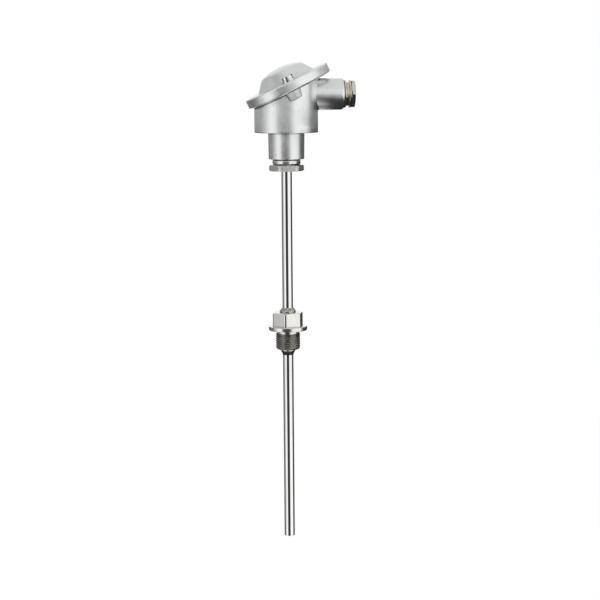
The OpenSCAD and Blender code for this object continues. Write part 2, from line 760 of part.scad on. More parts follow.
module terminal_block() {
    color("ivory") difference() {
        translate([0, 0, plate_top]) chamfered_rod(block_r, block_h, block_edge);
        translate([0, 0, plate_top - cut]) cylinder(r = block_bore_d / 2, h = block_h + 2 * cut);
        for (side = sides) at_side(side, fixing_y) translate([0, 0, plate_top - cut])
            cylinder(r = spring_hole_r, h = block_h + 2 * cut);
        // wells that hold the terminals, open outwards
        for (p = terminal_places)
            translate([p.x > 0 ? terminal_x - well_gap : -block_r - cut,
                       p.y * terminal_y - terminal_w / 2 - well_gap, terminal_z])
                cube([block_r + cut - terminal_x + well_gap, terminal_w + 2 * well_gap,
                      well_depth + cut]);
        // chamber between the wells, where the leads spread out from the middle hole
        translate([-terminal_x - cut, -chamber_y, chamber_z])
            cube([2 * (terminal_x + cut), 2 * chamber_y, well_depth + cut]);
        // barrier slots between the two terminals of each side
        for (x = [-1, 1])
            translate([x > 0 ? terminal_x : -block_r - cut, -barrier_w / 2, block_top - barrier_w])
                cube([block_r + cut - terminal_x, barrier_w, barrier_w + cut]);
    }
}

function terminal_screw_x(k) = terminal_x + terminal_l * (k == 0 ? 0.25 : 0.75);

module terminal(i) {
    p = terminal_places[i];
    color("goldenrod") difference() {
        translate([p.x > 0 ? terminal_x : -terminal_x - terminal_l,
                   p.y * terminal_y - terminal_w / 2, terminal_z])
            cube([terminal_l, terminal_w, terminal_h]);
        // wire way through the terminal, along X
        translate([p.x > 0 ? terminal_x - cut : -terminal_x - terminal_l - cut,
                   p.y * terminal_y, lead_z])
            rotate([0, 90, 0]) cylinder(r = terminal_bore_d / 2, h = terminal_l + 2 * cut);
        for (k = [0, 1]) translate([p.x * terminal_screw_x(k), p.y * terminal_y, lead_z])
            cylinder(r = terminal_screw_d / 2 + thread_gap, h = terminal_h);
    }
}

module terminal_screw(j) {
    i = floor(j / 2);
    p = terminal_places[i];
    reach = terminal_top - lead_z - lead_d / 2 - thread_gap;
    color("silver") translate([p.x * terminal_screw_x(j % 2), p.y * terminal_y, terminal_top])
        rotate([0, 0, 25 + 50 * j])
            slotted_screw(terminal_screw_d, terminal_head_d, 2, reach);
}

module lead_wire(i) {
    p = terminal_places[i];
    start = [p.x * lead_pitch, p.y * lead_pitch, sheath_top - 1];
    end = [p.x * (terminal_x + terminal_l * 0.35), p.y * terminal_y, lead_z];
    entry = [p.x * terminal_x, p.y * terminal_y, lead_z];
    up = [start.x, start.y, lead_z + 2];
    before = [p.x * (terminal_x - 5), p.y * terminal_y, lead_z];
    steps = 14;
    path = concat(
        [start],
        [for (k = [0:steps]) let (t = k / steps, q = 1 - t)
            q * q * q * (start + [0, 0, 1.2]) + 3 * q * q * t * up
            + 3 * q * t * t * before + t * t * t * entry],
        [end]);
    color("white") sweep(path, lead_d / 2, 8, [0, 1, 0]);
}

// ---- insert fixing ------------------------------------------------------

module fixing_screw(side) {
    color("silver") at_side(side, fixing_y) translate([0, 0, fixing_head_z])
        slotted_screw(fixing_d, fixing_head_d, fixing_head_h, fixing_head_z - body_z - blind_wall - 2 * face_gap);
}

module fixing_spring(side) {
    steps = 14;
    closed = spring_wire_d * 1.08;
    rise = spring_l - spring_wire_d;
    z0 = plate_top + spring_wire_d / 2;
    function coil_z(t) =
        t < 1 ? t * closed
        : t > spring_turns - 1 ? rise - (spring_turns - t) * closed
        : closed + (t - 1) * (rise - 2 * closed) / (spring_turns - 2);
    path = [for (i = [0:spring_turns * steps]) let (t = i / steps)
        [spring_r * cos(360 * t), spring_r * sin(360 * t), z0 + coil_z(t)]];
    color("gray") at_side(side, fixing_y) sweep(path, spring_wire_d / 2 * 0.98, 6, [0, 0, 1]);
}

// ---- the part -----------------------------------------------------------

process_fitting();
protection_tube();
tip_plug();
tube_collar();
neck_screw();
neck_gasket();
head_housing();
head_cover();
cover_gasket();
gland_body();
gland_gasket();
gland_seal();
gland_slip_ring();
gland_screw();
earth_screw();
earth_washer();
insert_plate();
insert_ferrule();
insert_sheath();
insulation_core();
sensing_element();
sheath_seal();
terminal_block();
for (side = sides) {
    cover_screw(side);
    cover_washer(side);
    fixing_screw(side);
    fixing_spring(side);
}
for (i = [0:3]) {
    terminal(i);
    lead_wire(i);
}
for (j = [0:7])
    terminal_screw(j);
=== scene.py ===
# %% [markdown]
# # A resistance thermometer with a slanted-cap terminal head
#
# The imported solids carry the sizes, the mounts and the joints, and Blender never
# moves them.  This lesson dresses them: the pieces that show get finer surfaces,
# worked out with numpy from the same sizes, and every piece gets the finish of the
# real metal, rubber or ceramic.

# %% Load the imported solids
import json

import bmesh
import bpy
import numpy as np
from mathutils import Matrix, Vector


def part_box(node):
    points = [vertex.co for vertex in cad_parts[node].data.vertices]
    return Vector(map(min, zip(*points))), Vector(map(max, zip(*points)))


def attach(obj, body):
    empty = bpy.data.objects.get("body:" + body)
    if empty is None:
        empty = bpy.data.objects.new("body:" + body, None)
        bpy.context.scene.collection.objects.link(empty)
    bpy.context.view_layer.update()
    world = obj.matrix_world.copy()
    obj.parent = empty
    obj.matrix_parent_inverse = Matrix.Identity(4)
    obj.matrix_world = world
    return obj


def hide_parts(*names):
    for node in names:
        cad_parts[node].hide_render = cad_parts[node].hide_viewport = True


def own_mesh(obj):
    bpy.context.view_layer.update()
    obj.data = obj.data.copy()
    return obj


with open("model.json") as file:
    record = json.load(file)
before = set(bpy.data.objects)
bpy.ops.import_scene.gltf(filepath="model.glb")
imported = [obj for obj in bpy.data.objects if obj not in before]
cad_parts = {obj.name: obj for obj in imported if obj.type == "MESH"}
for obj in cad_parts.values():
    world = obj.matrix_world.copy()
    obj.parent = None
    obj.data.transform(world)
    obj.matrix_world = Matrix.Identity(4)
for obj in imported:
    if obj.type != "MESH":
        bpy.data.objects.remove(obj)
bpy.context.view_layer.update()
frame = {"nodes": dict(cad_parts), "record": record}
nodes, record = frame["nodes"], frame["record"]
slots = {s["node"]: s["material_slot"] for s in record["subparts"]}

# %% [markdown]
# ## A few tools for surfaces
#
# Most of this probe is turned on a lathe or cast in a round die.  So one idea
# makes nearly every piece: an *outline*, a row of points, is repeated once for
# each *station* round the axis.  That grid of points is the surface.  Each station
# may have its own copy of the outline, which also gives hexagons and threads.

# %% Grids and outlines
MM = 0.001
TURN = 2 * np.pi
SAME_POINT, SLIVER = 1e-7, 1e-8  # metres: closer points are one, thinner faces go


def stations(count=96):
    """Angles of the stations round the axis: equal steps of one turn."""
    return np.arange(count) * TURN / count


def outline(points, theta):
    """One (radius, height) outline for all stations: rows x stations x 2.

    A radius or height may be an array as long as theta, where it changes on the
    way round."""
    return np.array([[np.broadcast_to(v, theta.shape) for v in p] for p in points]).swapaxes(1, 2)


def soften(rows, reach, steps=3, loop=False):
    """Rounds the corners of an outline, at all stations at once.

    At a corner B between A and C the curve is (1-t)^2 (B+a) + 2t(1-t) B +
    t^2 (B+c).  a and c point to A and C, and are as long as reach or as 45
    percent of that edge, whichever is less."""
    rows = np.asarray(rows, float)
    reach = np.array(np.broadcast_to(np.asarray(reach, float), len(rows)))
    if not loop:
        reach[[0, -1]] = 0

    def towards(edge):
        length = np.linalg.norm(edge, axis=-1, keepdims=True)
        return edge * np.minimum(reach[:, None, None], 0.45 * length) / np.maximum(length, 1e-9)

    a, c = towards(np.roll(rows, 1, 0) - rows), towards(np.roll(rows, -1, 0) - rows)
    t = np.linspace(0, 1, steps + 1)[None, :, None, None]
    b = rows[:, None]
    curve = (1 - t) ** 2 * (b + a[:, None]) + 2 * t * (1 - t) * b + t**2 * (b + c[:, None])
    keep = np.ones((len(rows), steps + 1), bool)
    keep[reach <= 0, 1:] = False
    return curve[keep]


def ring(radius, theta, z):
    """Places at a radius and height round the Z axis: (r cos t, r sin t, z)."""
    return np.stack([radius * np.cos(theta), radius * np.sin(theta), z + 0 * radius * theta], -1)


def turned(rows, theta):
    """Carries outlines round the Z axis."""
    return ring(rows[..., 0], theta, rows[..., 1])


def placed(grid, axes, origin):
    """Carries a grid into another frame: origin + x e1 + y e2 + z e3."""
    return grid @ np.asarray(axes, float) + np.asarray(origin, float)


print("one turn in steps of", round(np.degrees(stations()[1]), 3), "degrees")

# %% [markdown]
# A grid becomes a mesh when neighbouring points are joined into four-sided
# faces.  Round the axis the last station joins the first.  Along the outline a
# *loop* joins the last row to the first, which gives a closed wall like a pipe's.
# An outline that starts and ends on the axis closes at two poles instead.  The
# volume inside the faces tells which way they look, so one test turns every
# shell the right way out.

# %% From grids to pieces
def joined(grid, loop):
    """Four-sided faces of one grid, all looking outwards.

    The signed volume is the sum of a . (b x c) / 6 over the triangles."""
    rows, cols = grid.shape[:2]
    i, j = np.arange(rows if loop else rows - 1)[:, None], np.arange(cols)[None, :]
    k, m = (i + 1) % rows, (j + 1) % cols
    corners = np.broadcast_arrays(i * cols + j, i * cols + m, k * cols + m, k * cols + j)
    quads = np.stack(corners, -1).reshape(-1, 4)
    p = grid.reshape(-1, 3)[quads]
    halves = (np.cross(p[:, u], p[:, u + 1]) for u in (1, 2))
    volume = sum(np.einsum("ij,ij->i", p[:, 0], half).sum() for half in halves) / 6
    return quads if volume > 0 else quads[:, ::-1]


def show(name, data):
    """Puts a mesh, a lamp or a camera into the scene."""
    thing = bpy.data.objects.new(name, data)
    bpy.context.scene.collection.objects.link(thing)
    return thing


def mesh_from(name, shells):
    """A mesh from shells of (grid in millimetres, loop).  Poles are merged."""
    points, faces, start = [], [], 0
    for grid, loop in shells:
        points.append(grid.reshape(-1, 3) * MM)
        faces.append(joined(grid, loop) + start)
        start += len(points[-1])
    mesh = bpy.data.meshes.new(name)
    mesh.from_pydata(np.concatenate(points), [], np.concatenate(faces))
    made = bmesh.new()
    made.from_mesh(mesh)
    bmesh.ops.remove_doubles(made, verts=made.verts, dist=SAME_POINT)
    bmesh.ops.dissolve_degenerate(made, edges=made.edges, dist=SLIVER)
    made.to_mesh(mesh)
    made.free()
    return mesh


print("mesh tools ready")

# %% Pieces, shading and cutters
def piece(name, body, shells, crease=32):
    """A smooth piece that rides on a body; edges over crease degrees stay sharp."""
    thing = show(name, mesh_from(name, shells))
    shade(thing, crease)
    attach(thing, body)
    print(f"{name}: {len(thing.data.polygons)} faces")
    return thing


def shade(thing, crease=32):
    """Smooth shading, with edges over crease degrees kept sharp."""
    mesh = thing.data
    mesh.polygons.foreach_set("use_smooth", np.ones(len(mesh.polygons), bool))
    mesh.set_sharp_from_angle(angle=np.radians(crease))


def level_shading(thing):
    """Weighs each corner's normal by the size of the faces that meet there, so
    that a long wall's reflections aren't tilted by the small faces of its edge."""
    even = thing.modifiers.new("level_shading", "WEIGHTED_NORMAL")
    even.keep_sharp, even.weight = True, 50


def carve(thing, grid):
    """Cuts a shape out of a piece, as a drill or cutter does."""
    tool = show("cutter", mesh_from("cutter", [(grid, False)]))
    cut = thing.modifiers.new("cut", "BOOLEAN")
    cut.object, cut.operation, cut.solver = tool, "DIFFERENCE", "EXACT"
    bpy.context.view_layer.update()
    shaped = thing.evaluated_get(bpy.context.evaluated_depsgraph_get())
    old, thing.data = thing.data, bpy.data.meshes.new_from_object(shaped)
    thing.modifiers.clear()
    bpy.data.objects.remove(tool)
    bpy.data.meshes.remove(old)
    shade(thing)


def rod(radius, low, high, theta):
    """A plain cylinder from low to high, closed at both ends."""
    return turned(outline([(0, low), (radius, low), (radius, high), (0, high)], theta), theta)


print("tools ready")

# %% [markdown]
# ## The frames that the pieces stand in
#
# Three frames are enough.  The probe's own axis is Z.  The cable entry lies along
# X at the height of its mount.  The cap leans: its frame is turned about Y and
# stands where the plane of the rim crosses the head's axis, shifted up the slope.

# %% Heights, read from the solids, and the three frames
def span(node, axis):
    """Lowest and highest place of a solid along one axis, in millimetres."""
    low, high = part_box(node)
    return low[axis] / MM, high[axis] / MM


entry_z = next(m["pos_m"][2] for m in record["mounts"] if m["name"] == "cable_entry") / MM
head_z = span("head_housing", 2)[0]
entry_reach = span("head_housing", 0)[1]
tube_r = span("protection_tube", 0)[1]
floor_below_plate = 5.4
cavity_floor = span("insert_plate", 2)[0] - floor_below_plate

tilt, cap_shift, rim_above_entry = np.radians(25), 3.9, 1.3
rim_z = entry_z + rim_above_entry
up_slope = np.array([np.cos(tilt), 0, np.sin(tilt)])
cap_axes = [up_slope, [0, 1, 0], [-np.sin(tilt), 0, np.cos(tilt)]]
cap_origin = np.array([0, 0, rim_z]) + cap_shift * up_slope
entry_axes = [[0, 0, -1], [0, 1, 0], [1, 0, 0]]
entry_origin = [0, 0, entry_z]


def on_cap(grid):
    """Carries a grid into the cap's leaning frame."""
    return placed(grid, cap_axes, cap_origin)


def on_entry(grid):
    """Carries a grid into the cable entry's frame."""
    return placed(grid, entry_axes, entry_origin)


print("entry axis at", round(entry_z, 2), "mm, rim at", round(rim_z, 2), "mm")

# %% [markdown]
# ## The cast head
#
# The real head is die-cast aluminium: a round pot with a threaded boss below, a
# slanted rim that carries the cap, two lugs for its screws and a round boss for the
# cable.  One closed outline makes the pot: up the outside, round the rim, down the
# inside and out through the neck.  The rows at the rim are not level: each is the
# curve where the pot's wall meets the slanted plane.

# %% The pot
pot_r, cavity_r = 26.75, 23.05
boss_r, boss_draft, boss_h = 15.0, 0.3, 22.1
body_z = head_z + boss_h
rim_t, rim_r = 4.4, 34.15
neck_thread_r, pass_r = 12.0, 9.0
shoulder_z = span("neck_gasket", 2)[1]


def on_slant(radius, theta, lift):
    """The curve where an upright cylinder meets the rim's plane, lifted by lift.

    z = rim_z + x tan(tilt) + lift / cos(tilt), with x = radius cos(theta)."""
    rise = radius * np.cos(theta) * np.tan(tilt) + lift / np.cos(tilt)
    return ring(radius, theta, rim_z + rise)


theta = stations(192)
pot = np.array([
    ring(neck_thread_r, theta, head_z),
    ring(boss_r, theta, head_z),
    ring(boss_r + boss_draft, theta, body_z),
    ring(pot_r, theta, body_z),
    on_slant(pot_r, theta, 0),
    on_cap(ring(rim_r, theta, 0)),
    on_cap(ring(rim_r, theta, rim_t)),
    on_slant(cavity_r, theta, rim_t),
    ring(cavity_r, theta, cavity_floor),
    ring(pass_r, theta, cavity_floor),
    ring(pass_r, theta, shoulder_z),
    ring(neck_thread_r, theta, shoulder_z)])
pot_corners = [0.3, 0.7, 0.6, 1.1, 0.8, 0.7, 0.4, 0.4, 1.5, 0.4, 0.1, 0.1]
pot = soften(pot, pot_corners, steps=6, loop=True)
print("pot outline:", pot.shape[0], "rows at", pot.shape[1], "stations")

# %% [markdown]
# Where the cable boss leaves the pot, the pattern maker rounds the corner.  A ball
# rolled along that corner touches both cylinders, and the strip between its two
# lines of contact is the fillet.  The ball's middle keeps its radius away from
# both, so its place has a formula at every angle round the boss.

# %% The cable boss and its fillet
entry_r, entry_bore = 13.1, 10.0
fillet = 1.2
chamfer, lead_in, bore_edge = 0.8, 1.7, 0.6
sunk = 1.6      # how deep the boss's own shell reaches into the wall
straight = 8    # the boss's plain length


def rolling_ball(phi, boss, wall, ball, steps=8):
    """Rows of the fillet between a boss along X and an upright round wall.

    The ball's middle is at y = (boss + ball) cos phi, z = (boss + ball) sin phi
    and x = sqrt((wall + ball)^2 - y^2).  Each row turns from the direction of
    the wall's axis to the direction of the boss's axis about that middle."""
    y, z = (boss + ball) * np.cos(phi), (boss + ball) * np.sin(phi)
    x = np.sqrt((wall + ball) ** 2 - y**2)
    middle = np.stack([x, y, z], -1)
    to_wall = -np.stack([x, y, 0 * x], -1) / (wall + ball)
    to_boss = -np.stack([0 * x, np.cos(phi), np.sin(phi)], -1)
    angle = np.arccos(np.einsum("ij,ij->i", to_wall, to_boss))[:, None]
    t = np.linspace(0, 1, steps + 1)[:, None, None]
    turn = (np.sin((1 - t) * angle) * to_wall + np.sin(t * angle) * to_boss) / np.sin(angle)
    return middle + ball * turn


def across(phi, radius, x):
    """A circle round the entry's axis, at distance x from the head's axis."""
    return np.stack([x + 0 * phi, radius * np.cos(phi), radius * np.sin(phi)], -1)


phi = stations(144)
corner = rolling_ball(phi, entry_r, pot_r, fillet)
inner_root, root = (across(phi, r, np.sqrt((pot_r - sunk) ** 2 - (r * np.cos(phi)) ** 2))
    for r in (entry_bore, entry_r))
end = soften([across(phi, entry_r, entry_reach - straight), across(phi, entry_r, entry_reach - lead_in),
    across(phi, entry_r - chamfer, entry_reach),
    across(phi, entry_bore + bore_edge, entry_reach),
    across(phi, entry_bore, entry_reach - bore_edge), inner_root], 0.35)
cable_boss = np.concatenate([[root], corner, end]) + entry_origin
print("cable boss outline:", cable_boss.shape[0], "rows")

# %% [markdown]
# The two lugs are short cones under the rim.  They are shells of their own that
# reach into the rim, as the boss reaches into the wall.  Only the hole between the
# wiring chamber and the cable entry is cut with a boolean, because there the
# opening has to go right through the wall.

# %% Lugs, chamber opening, and the finished casting
screw_pitch_r, spot_r = 29.95, 7.0
lug_h, lug_top_r, lug_foot_r = 6.9, 6.5, 5.0
opening_from, opening_to = 12, pot_r + 6
lug_theta = stations(48)
lug_line = outline([(0, -lug_h), (lug_foot_r, -lug_h), (lug_top_r, 0), (0, 0)], lug_theta)
lug = turned(soften(lug_line, [0, 1.1, 0.1, 0], 5), lug_theta)
lugs = [(on_cap(lug + [0, side * screw_pitch_r, 0]), False) for side in (-1, 1)]
head_casting = piece("head_casting", "head", [(pot, True)])
opening = rod(entry_bore, opening_from, opening_to, phi)
carve(head_casting, on_entry(opening))
boss_and_lugs = piece("boss_and_lugs", "head", [(cable_boss, True), *lugs])
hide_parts("head_housing")
print("casting:", len(head_casting.data.polygons) + len(boss_and_lugs.data.polygons), "faces")

# %% [markdown]
# ## The cap
#
# The cap is a second casting: a domed lid on a flange, with a skirt that hides the
# rim.  Its outline is turned about the leaning axis.  The dome's side is straight,
# and a small radius carries it into a very shallow crown.  The spot faces for the
# two screws are cut last, as on the machine.

# %% The cap's outline
cover_top, cover_seat = 8.4, 5.9
skirt_in, skirt_out = 34.35, 37.3
dome_foot, dome_h, crown_r, shoulder_r = 25.25, 13.0, 46.0, 6.0
dome_slope, dome_wall, inner_shoulder_r = np.radians(53), 2.6, 1.4


def dome(foot, base, height, crown, shoulder, theta, steps=7):
    """Side wall, shoulder and crown of a dome, from its foot to the pole.

    The crown is a circle about a point on the axis.  The shoulder is a circle
    that touches both the crown from inside and the straight side wall."""
    middle = np.array([0, base + height - crown])
    along = np.array([-np.cos(dome_slope), np.sin(dome_slope)])
    inward = np.array([-np.sin(dome_slope), -np.cos(dome_slope)])
    start = np.array([foot, base]) - middle + shoulder * inward
    reach = -start @ along + np.sqrt((start @ along) ** 2 - start @ start + (crown - shoulder) ** 2)
    hub = middle + start + reach * along
    tangent = np.pi / 2 - dome_slope
    end = np.arctan2(hub[1] - middle[1], hub[0])
    turn = np.linspace(tangent, end, steps)
    over = end + (np.pi / 2 - end) * np.linspace(0, 1, 3 * steps)[1:]
    bend = hub + shoulder * np.stack([np.cos(turn), np.sin(turn)], -1)
    top = middle + crown * np.stack([np.cos(over), np.sin(over)], -1)
    points = np.concatenate([[[foot, base]], bend, top])
    points[-1, 0] = 0
    return np.repeat(points[:, None], len(theta), 1)


plate_t = cover_top - cover_seat
inner_foot = dome_foot - dome_wall / np.sin(dome_slope) + plate_t / np.tan(dome_slope)
inside = dome(inner_foot, cover_seat, dome_h + plate_t - dome_wall, crown_r - dome_wall,
    inner_shoulder_r, theta)
skirt_low, bevel, bevel_low, bevel_high = 0.25, 0.6, 0.6, 1.4
flange = soften(outline([(skirt_in, cover_seat), (skirt_in, skirt_low), (skirt_out - bevel, bevel_low),
    (skirt_out, bevel_high), (skirt_out, cover_top), (dome_foot + 1, cover_top)],
    theta), [0, 0.3, 0.4, 0.5, 1.4, 0], 6)
outside = dome(dome_foot, cover_top, dome_h, crown_r, shoulder_r, theta, 10)
cap = on_cap(turned(np.concatenate([inside[::-1], flange, outside]), theta))
print("cap outline:", len(cap), "rows")

# %% Spot faces and screw holes
slanted_cap = piece("slanted_cap", "head", [(cap, False)])
face_theta = stations(64)
hole_r, cutter_h = 3.3, 14
for side in (-1, 1):
    for cutter in (rod(spot_r, cover_top, cover_top + cutter_h, face_theta),
            rod(hole_r, cover_seat - 1, cover_top + 1, face_theta)):
        carve(slanted_cap, on_cap(cutter + [0, side * screw_pitch_r, 0]))
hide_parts("head_cover")

# %% [markdown]
# ## Hexagons
#
# A hexagon nut is turned first and milled after.  So its outline at an angle t is
# the turned outline, cut off at the distance of the flat: half the width across
# flats over cos(t), with t counted from the middle of that flat.  The chamfer is a
# cone, and where it meets the six flats it leaves the curved line that every nut
# shows.  The stations crowd at the corners, where the shape turns fastest.

# %% Stations and outlines for hexagons
def hex_stations(across_flats, corner_r, first_corner, flat_steps=16, corner_steps=4):
    """Stations for a hexagon, and the distance of its outside at each of them.

    The distance is the lesser of the corner radius and af / 2 / cos(t)."""
    half = np.arccos(across_flats / 2 / corner_r)
    base = np.concatenate([np.linspace(-half, half, flat_steps + 1),
        np.linspace(half, TURN / 6 - half, corner_steps + 2)[1:-1]])
    theta = (base[None, :] + TURN / 6 * (np.arange(6)[:, None] + 0.5)).ravel() + first_corner
    from_flat = np.broadcast_to(np.abs(base), (6, len(base))).ravel()
    on_flat = across_flats / 2 / np.cos(np.minimum(from_flat, half))
    return theta, np.where(from_flat <= half, on_flat, corner_r)


def hex_rows(outside, across_flats, low, high, foot=True):
    """Outline of a hexagon from its lower to its upper turned face.

    The chamfer is a cone of 25 degrees that starts just inside the flats."""
    start = across_flats / 2 * 0.99
    drop = (outside - start) * np.tan(np.radians(25))
    below = [(start, low), (outside, low + drop)] if foot else [(outside, low)]
    return below + [(outside, high - drop), (start, high)]


def corner_radius(across_flats, cut):
    """Radius of a hexagon's corners, af / 2 / cos(30 degrees), less a cut."""
    return across_flats / 2 / np.cos(np.pi / 6) - cut


print("hexagon helpers ready")

# %% [markdown]
# ## The process fitting
#
# One stainless bar carries the hexagon, the round sealing collar and the pipe
# thread, and two weld seams join it to the tube.  A thread is an outline whose
# radius depends on the angle as well: the ridge climbs one pitch in one turn, so
# the phase is height over pitch minus angle over one turn.  The seams get the low
# ripples that a welder's pulses leave, and the lower one runs out along the tube in
# a long, thin foot.

# %% The fitting's outline
fitting_af, fitting_h, fitting_turn = 24.0, 11.8, np.radians(17)
fit_theta, fit_hex = hex_stations(fitting_af, corner_radius(fitting_af, 0.4), fitting_turn)
collar_r, collar_t, collar_edge = span("process_fitting", 0)[1], 3.5, 0.6
hex_top = collar_t + fitting_h
thread_r, thread_end, thread_tip = 20.955 / 2, 16.3, 1.3
relief_h, relief_r, runout = 3.0, thread_r - 0.8, 0.4
thread_high = runout - relief_h
pitch, ridge = 1.814, 0.65
seam_foot, seam_top = span("process_fitting", 2)


def thread(theta, low, high, crest, pitch, ridge, envelope, steps=14):
    """Rows of a right-hand thread: crest radius minus ridge times a wave.

    The wave of the phase u = z / pitch - t / turn is a smooth step of |2u - 1|,
    so crests and roots are rounded.  The envelope is the plain turned outline,
    and the thread never stands outside it."""
    z = np.linspace(high, low, int((high - low) / pitch * steps))
    u = (z[:, None] / pitch - theta[None, :] / TURN) % 1
    s = np.abs(2 * u - 1)
    wave = s * s * (3 - 2 * s)
    r = np.minimum(crest - ridge * wave, np.interp(z, *envelope)[:, None])
    return np.stack([r, z[:, None] + 0 * r], -1)


def seam(theta, points, face, ripples, height):
    """A weld seam through points of (distance from the tube, height above a face).

    Its radius rises and falls by height on the way round.  Two waves of
    different length, one leaning, keep the ripples uneven."""
    rows = soften(outline([(tube_r + leg, rise) for leg, rise in points], theta), 0.8, 6) + [0, face]
    r, z = rows[..., 0], rows[..., 1]
    bulge = np.sin(np.pi * np.linspace(0, 1, len(rows)))[:, None]
    slower = (ripples * 0.5 + 3) // 1
    wave = 0.65 * np.sin(ripples * theta + 0.8 * z) + 0.35 * np.sin(slower * theta - 1.3 * z)
    return np.stack([r + height * bulge * wave, z], -1)


top_h, foot_h = seam_top - hex_top, seam_foot + thread_end
upper = seam(fit_theta, [(2.3, 0), (2.3, 1.1), (1.6, 2.0), (0.15, top_h)], hex_top, 15, 0.18)
lower = seam(fit_theta, [(1.8, 0), (1.8, -1.2), (0.35, -3.8), (0.15, foot_h)], -thread_end, 13, 0.1)
collar = [(relief_r, thread_high), (relief_r, 0), (collar_r, 0), (collar_r, collar_t)]
body = soften(outline(collar + hex_rows(fit_hex, fitting_af, collar_t, hex_top, foot=False), fit_theta),
    [0, 0.5, collar_edge, collar_edge, 0.25, 0.25, 0], 4)
envelope = ([-thread_end, -thread_end + thread_tip, -relief_h, thread_high],
    [thread_r - thread_tip, thread_r, thread_r, relief_r])
ridges = thread(fit_theta, -thread_end, thread_high, thread_r, pitch, ridge, envelope)
bore = outline([(tube_r, seam_top), (tube_r, seam_foot)], fit_theta)
fitting = np.concatenate([lower[::-1], ridges[::-1], body, upper, bore])
process_fitting = piece("threaded_fitting", "stem", [(turned(fitting, fit_theta), True)])
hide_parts("process_fitting")

# %% [markdown]
# ## Tube, tip and neck screw
#
# The tube is the plainest piece and the hardest to fake: it is bright, so its
# outline must be perfectly round.  More stations cost little here.  Its closed
# tip has a rounded edge and a faint line where the end plug was welded in.

# %% The protection tube
tube_theta = stations(128)
tip_z, plug_top = span("tip_plug", 2)
tube_top = span("protection_tube", 2)[1]
tube_bore, line_half, line_deep = 3.5, 0.15, 0.04
wall = outline([(0, tip_z), (tube_r, tip_z), (tube_r, plug_top - line_half),
    (tube_r - line_deep, plug_top), (tube_r, plug_top + line_half),
    (tube_r, plug_top + 0.5), (tube_r, tube_top), (tube_bore, tube_top),
    (tube_bore, plug_top), (0, plug_top)], tube_theta)
tube_rows = soften(wall, [0, 0.6, 0, 0, 0, 0, 0.2, 0.2, 0.2, 0], 6)
protection_tube = piece("closed_tube", "stem", [(turned(tube_rows, tube_theta), False)])
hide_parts("protection_tube", "tip_plug")

# %% The neck screw
neck_af, neck_hex_h, neck_turn = 27.0, 5.2, np.radians(4)
neck_theta, neck_hex = hex_stations(neck_af, corner_radius(neck_af, 0.9), neck_turn)
neck_low, neck_high = span("neck_screw", 2)
neck_hex_top, neck_shank_r, groove = neck_low + neck_hex_h, 11.9, 1.1
neck_bore, neck_pitch, neck_ridge = tube_r + 0.2, 1.5, 0.85
groove_r, groove_h, thread_low = neck_shank_r - groove, groove * 0.8, head_z + 1
rows = [(neck_bore, neck_low)] + hex_rows(neck_hex, neck_af, neck_low, neck_hex_top)
rows += [(groove_r, neck_hex_top), (neck_shank_r, neck_hex_top + groove_h),
    (neck_shank_r, head_z - groove_h), (groove_r, head_z), (groove_r, thread_low)]
below = soften(outline(rows, neck_theta), [0.3, 0.2, 0.25, 0.25, 0.2, 0.2, 0.8, 0.8, 0.2, 0], 4)
envelope = ([thread_low, thread_low + 1, neck_high - 1, neck_high],
    [10.8, neck_shank_r, neck_shank_r, 10.9])
ridges = thread(neck_theta, thread_low, neck_high, neck_shank_r, neck_pitch, neck_ridge, envelope)
neck_grid = np.concatenate([below, ridges[::-1], outline([(neck_bore, neck_high)], neck_theta)])
neck_screw = piece("neck_hexagon_screw", "head", [(turned(neck_grid, neck_theta), True)])
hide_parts("neck_screw")

# %% [markdown]
# ## The cable gland
#
# The gland is nickel-plated brass.  Its body is a plain turned bush with two beads
# and a waist between them; the hexagon beyond is the pressure screw, which turns
# in the body and pushes the slip ring onto the rubber seal.  Both are outlines
# turned about the entry's axis.

# %% The gland's body
gland_theta = stations(128)
g_low, g_high = span("gland_body", 0)
g_face, seal_x = span("gland_gasket", 0)[1], span("gland_seal", 0)[0]
bead_r, bead_t, waist_r, waist_ramp = 11.5, 1.1, 10.0, 0.7
spigot_r, pass_bore, seal_bore = 9.9, 6.5, 8.5
waist = g_face + bead_t + waist_ramp, g_high - bead_t - waist_ramp
rows = [(pass_bore, g_low), (spigot_r, g_low), (spigot_r, g_face), (bead_r, g_face),
    (bead_r, g_face + bead_t), (waist_r, waist[0]), (waist_r, waist[1]), (bead_r, g_high - bead_t),
    (bead_r, g_high), (seal_bore, g_high), (seal_bore, seal_x), (pass_bore, seal_x)]
bush = soften(outline(rows, gland_theta),
    [0.2, 0.8, 0.1, 0.3, 0.35, 0.25, 0.25, 0.35, 0.3, 0.3, 0.1, 0.2], 4, loop=True)
gland_body = piece("gland_bush", "head", [(on_entry(turned(bush, gland_theta)), True)])
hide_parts("gland_body")

# %% The pressure screw
gland_af, gland_hex_h, gland_turn = 22.0, 3.3, np.radians(30)
screw_theta, screw_hex = hex_stations(gland_af, corner_radius(gland_af, 0.3), gland_turn)
s_low, s_high = span("gland_screw", 0)
hex_low, screw_bore, shank, screw_pitch, edge = s_high - gland_hex_h, 6.0, 8.4, 1.5, 0.8
envelope = ([s_low, s_low + edge, hex_low - edge, hex_low], [7.6, shank, shank, 7.9])
ridges = thread(screw_theta, s_low, hex_low, shank, screw_pitch, 0.8, envelope)
rows = hex_rows(screw_hex, gland_af, hex_low, s_high)
rows += [(screw_bore + edge, s_high), (screw_bore, s_high - edge)]
head_rows = soften(outline(rows, screw_theta), [0.2, 0.25, 0.25, 0.2, 0.3, 0], 4)
screw_grid = np.concatenate([outline([(screw_bore, s_low)], screw_theta), ridges[::-1], head_rows])
gland_screw = piece("gland_pressure_screw", "gland_nut",
    [(on_entry(turned(screw_grid, screw_theta)), True)])
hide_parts("gland_screw")

